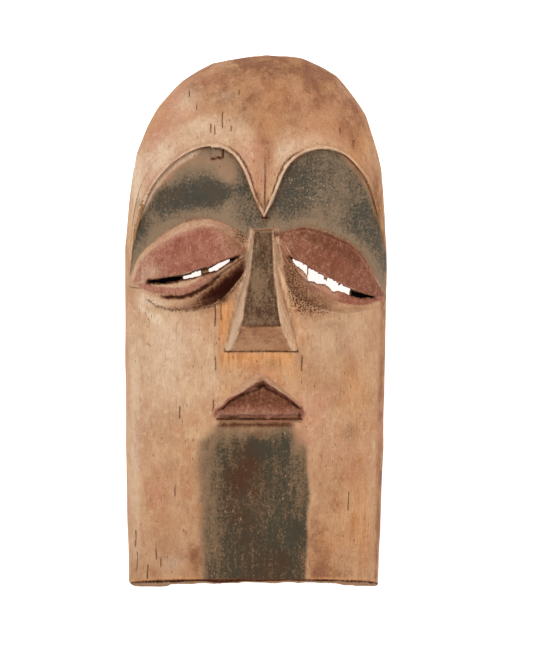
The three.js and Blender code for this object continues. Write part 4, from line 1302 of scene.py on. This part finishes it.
COATS = [  # on the wood, from the first one down
    ("#dfc3a6", "white_clay", {"worn": 1.5, "rubbed": 1.2}, 0.0, 0.95),
    ("stained wood", "stain_and_shade", {"worn": 1.8, "rubbed": 1.6}, 0.05, 0.95),
    ("#8a5d43", "craze", {}, 0.2, 1.3),
    ("fresh wood", "bare_wood", {"rubbed": 1.6, "streak": 1.4}, 0.05, 0.95),
    ("#f0d8bd", "grit", {}, 0.5, -0.2),
    ("#bd8a73", "red_paint", {"rubbed": 0.8}, 0.12, 0.6),
    ("red earth", "red_paint", {"worn": 1.0, "rubbed": 0.7, "grit": 3.0}, 0.12, 0.95),
    ("#593821", "grit", {}, 0.52, 1.1),  # grime in the grain, also on the next line
    ("#593821", "fibre", {}, 0.5, 0.95),
    ("#8c745c", "black_paint", {"rubbed": 1.0}, 0.0, 0.36),
    ("#665746", "black_paint", {"worn": 1.4, "crumbs": 2.6}, 0.3, 0.85),
    ("grey black", "black_paint", {"worn": 0.9, "stroke": 1.1, "grit": 3.6}, 0.36, 0.95),
    ("#85694f", "beard_paint", {"rubbed": 1.0}, 0.0, 0.5),
    ("#664f3a", "beard_paint", {"worn": 1.2, "crumbs": 2.6}, 0.35, 0.95),
    ("brown black", "beard_paint", {"worn": 0.9, "streak": 1.8, "grit": 2.8}, 0.3, 0.95),
    ("#a3927a", "crumbs", {"speckled": 0.5}, 0.7, 0.9),
    ("#5c3a22", "pecks", {}, 0.0, 0.2),
    ("open vessel", "vessels", {}, 0.0, 0.12),
    # Dirt and painted shade, brown where there is a little and near black where there is most
    ("#69412a", "dirt", {"rubbed": 1.0, "grit": 1.4}, 0.0, 0.8),
    ("#2e0d05", "dirt", {"rubbed": 0.7, "grit": 1.0}, 0.42, 1.08),
    ("gouged wood", "depth", {}, 0.5, 1.2),
]
RELIEF = {"fibre": 0.4, "grit": 0.9, "stroke": 0.3, "rubbed": 0.5}


def painted_wood():
    """Pale carved wood, finished with a knife and rubbed with earth paint: matt, with open vessels."""
    material, tree = new_finish("carved_light_wood_with_worn_earth_paint")
    place = add(tree, "TexCoord", {}).outputs["Object"]

    def sized(across, along):
        stretch = (1 / MM / across, 1 / MM / along, 1 / MM / across)
        return add(tree, "VectorMath", {0: place, 1: stretch}, operation="MULTIPLY").outputs[0]

    def worked_out(operation, *values):
        return add(tree, "Math", dict(enumerate(values)), operation=operation).outputs[0]

    has = {name: add(tree, "Attribute", {}, attribute_name=name).outputs["Fac"] for name in AMOUNTS}
    for name, (across, along, octaves) in PATTERNS.items():
        noise = {"Vector": sized(across, along), "W": 3.7 * len(name) + across, "Scale": 1.0,
                 "Detail": octaves, "Roughness": 0.62}
        has[name] = add(tree, "TexNoise", noise, noise_dimensions="4D").outputs[0]

    def broken_up(amount, patterns):
        """An amount that each pattern raises in some places and lowers in others, by its weight."""
        factor = 1 - 0.5 * sum(patterns.values())
        for name, weight in patterns.items():
            factor = worked_out("MULTIPLY_ADD", has[name], weight, factor)
        return worked_out("MULTIPLY", amount, factor)

    def coated(colour, coats):
        """A colour with others laid over it in turn."""
        for top, goes_by, patterns, begins, covers in coats:
            amount = broken_up(has[goes_by], patterns) if patterns else has[goes_by]
            share = add(tree, "MapRange", {"Value": amount, "From Min": begins, "From Max": covers},
                        interpolation_type="SMOOTHSTEP").outputs[0]
            top = tones[top] if top in tones else paint(top)
            colour = add(tree, "Mix", {0: share, 6: colour, 7: top}, data_type="RGBA").outputs[2]
        return colour

    vessel = add(tree, "TexVoronoi", {"Vector": sized(*VESSEL_CELL), "Scale": 1.0}).outputs["Distance"]
    peck = add(tree, "TexVoronoi", {"Vector": sized(*PECK_CELL), "Scale": 1.0},
               voronoi_dimensions="2D").outputs["Distance"]
    bent = add(tree, "VectorMath", {0: sized(*CRAZE_CELL), 1: has["worn"]}, operation="ADD").outputs[0]
    hair_crack = add(tree, "TexVoronoi", {"Vector": bent, "Scale": 1.0},
                     feature="DISTANCE_TO_EDGE").outputs["Distance"]
    stained_here = broken_up(has["stain_and_shade"], {"blotch": 3.0, "rubbed": 2.0})
    has["craze"] = worked_out("MULTIPLY_ADD", hair_crack, -16.0, stained_here)
    reach_of_pecks = worked_out("MULTIPLY_ADD", broken_up(has["pecked"], {"worn": 1.5}), 0.42, -0.08)
    has["pecks"] = worked_out("SUBTRACT", reach_of_pecks, peck)
    has["vessels"] = worked_out("SUBTRACT", 0.14, vessel)
    # soot and painted shade, darker the deeper a point lies inside the slits
    has["soot_and_shade"] = worked_out("MULTIPLY", has["in_slit"], has["depth"])

    tones = {}
    for name, (first, *varied) in TONES.items():
        tones[name] = coated(paint(first), varied)
    colour = coated(tones["wood"], COATS)

    relief = broken_up(1.0, RELIEF)
    for pits in (has["pecks"], has["vessels"]):
        relief = worked_out("MULTIPLY_ADD", worked_out("MAXIMUM", pits, 0.0), -2.5, relief)
    bump = add(tree, "Bump", {"Height": relief, "Distance": 0.7 * MM, "Strength": 0.8}).outputs[0]
    dull = add(tree, "MapRange", {"Value": has["rubbed"], "To Min": 0.66, "To Max": 0.92}).outputs[0]
    shader = add(tree, "BsdfPrincipled", {"Base Color": colour, "Roughness": dull, "Normal": bump,
                                          "Specular IOR Level": 0.08, "IOR": 1.5})
    add(tree, "OutputMaterial", {"Surface": shader.outputs[0]})
    return material


mask = dress_mask()
mask.data.materials.clear()
mask.data.materials.append(painted_wood())
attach(mask, "root")
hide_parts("mask")


# Stage: a pale floor, a little lit from below, soft light from above and a camera looking straight down
IMAGE_HEIGHT_PX = 646
MM_PER_PX = 0.41237  # on the mask's outline
VIEW_MIDDLE = (4.33, -0.93)  # where the middle of the view lies on the mask
CAMERA_HEIGHT = 3500.0
OUTLINE_LEVEL = 12.0  # height at which the outline is widest to the eye
SENSOR = 36.0
FLOOR_SIZE = 6.0  # in metres, as is the next one
FLOOR_LEVEL = -0.0004  # just under the rim, so that the two never share a plane
FLOOR_GLOW = 0.85
SKY_STRENGTH = 0.32


def floor_finish():
    """Matt white paper laid on a light table: no texture of its own beyond a trace of tooth."""
    material, tree = new_finish("matt_white_paper")
    place = add(tree, "TexCoord", {}).outputs["Object"]
    tooth = add(tree, "TexNoise", {"Vector": place, "Scale": 1 / (8 * MM)}).outputs[0]
    dull = add(tree, "MapRange", {"Value": tooth, "To Min": 0.9, "To Max": 1.0}).outputs[0]
    shader = add(tree, "BsdfPrincipled", {
        "Base Color": paint("#e8e8e8"), "Roughness": dull, "Emission Color": paint("#ffffff"),
        "Emission Strength": FLOOR_GLOW, "Specular IOR Level": 0.0,
    })
    add(tree, "OutputMaterial", {"Surface": shader.outputs[0]})
    return material


def aimed(thing, place, target):
    thing.location = place
    thing.rotation_euler = (Vector(target) - Vector(place)).to_track_quat("-Z", "Y").to_euler()
    bpy.context.scene.collection.objects.link(thing)
    return thing


def soft_light(name, place, size, power):
    lamp = bpy.data.lights.new(name, "AREA")
    lamp.shape = "SQUARE"
    lamp.size = size
    lamp.energy = power
    return aimed(bpy.data.objects.new(name, lamp), place, (0, 0, 0.02))


bpy.ops.mesh.primitive_plane_add(size=FLOOR_SIZE, location=(0, 0, FLOOR_LEVEL))
floor = bpy.context.object
floor.name = "floor"
floor.data.materials.append(floor_finish())

soft_light("key", (-0.4, 0.4, 1.55), 0.8, 18)
soft_light("fill", (0.8, 0, 1.2), 0.9, 7)

world = bpy.data.worlds.new("studio")
bpy.context.scene.world = world
world.use_nodes = True
world.node_tree.nodes["Background"].inputs["Color"].default_value = paint("#ffffff")
world.node_tree.nodes["Background"].inputs["Strength"].default_value = SKY_STRENGTH

lens = bpy.data.cameras.new("camera")
lens.sensor_fit = "VERTICAL"
lens.sensor_height = SENSOR
lens.lens = SENSOR * (CAMERA_HEIGHT - OUTLINE_LEVEL) / (IMAGE_HEIGHT_PX * MM_PER_PX)
lens.clip_end = 20
camera = bpy.data.objects.new("camera", lens)
camera.location = (VIEW_MIDDLE[0] * MM, VIEW_MIDDLE[1] * MM, CAMERA_HEIGHT * MM)
bpy.context.scene.collection.objects.link(camera)
bpy.context.scene.camera = camera
bpy.context.scene.view_settings.view_transform = "Standard"
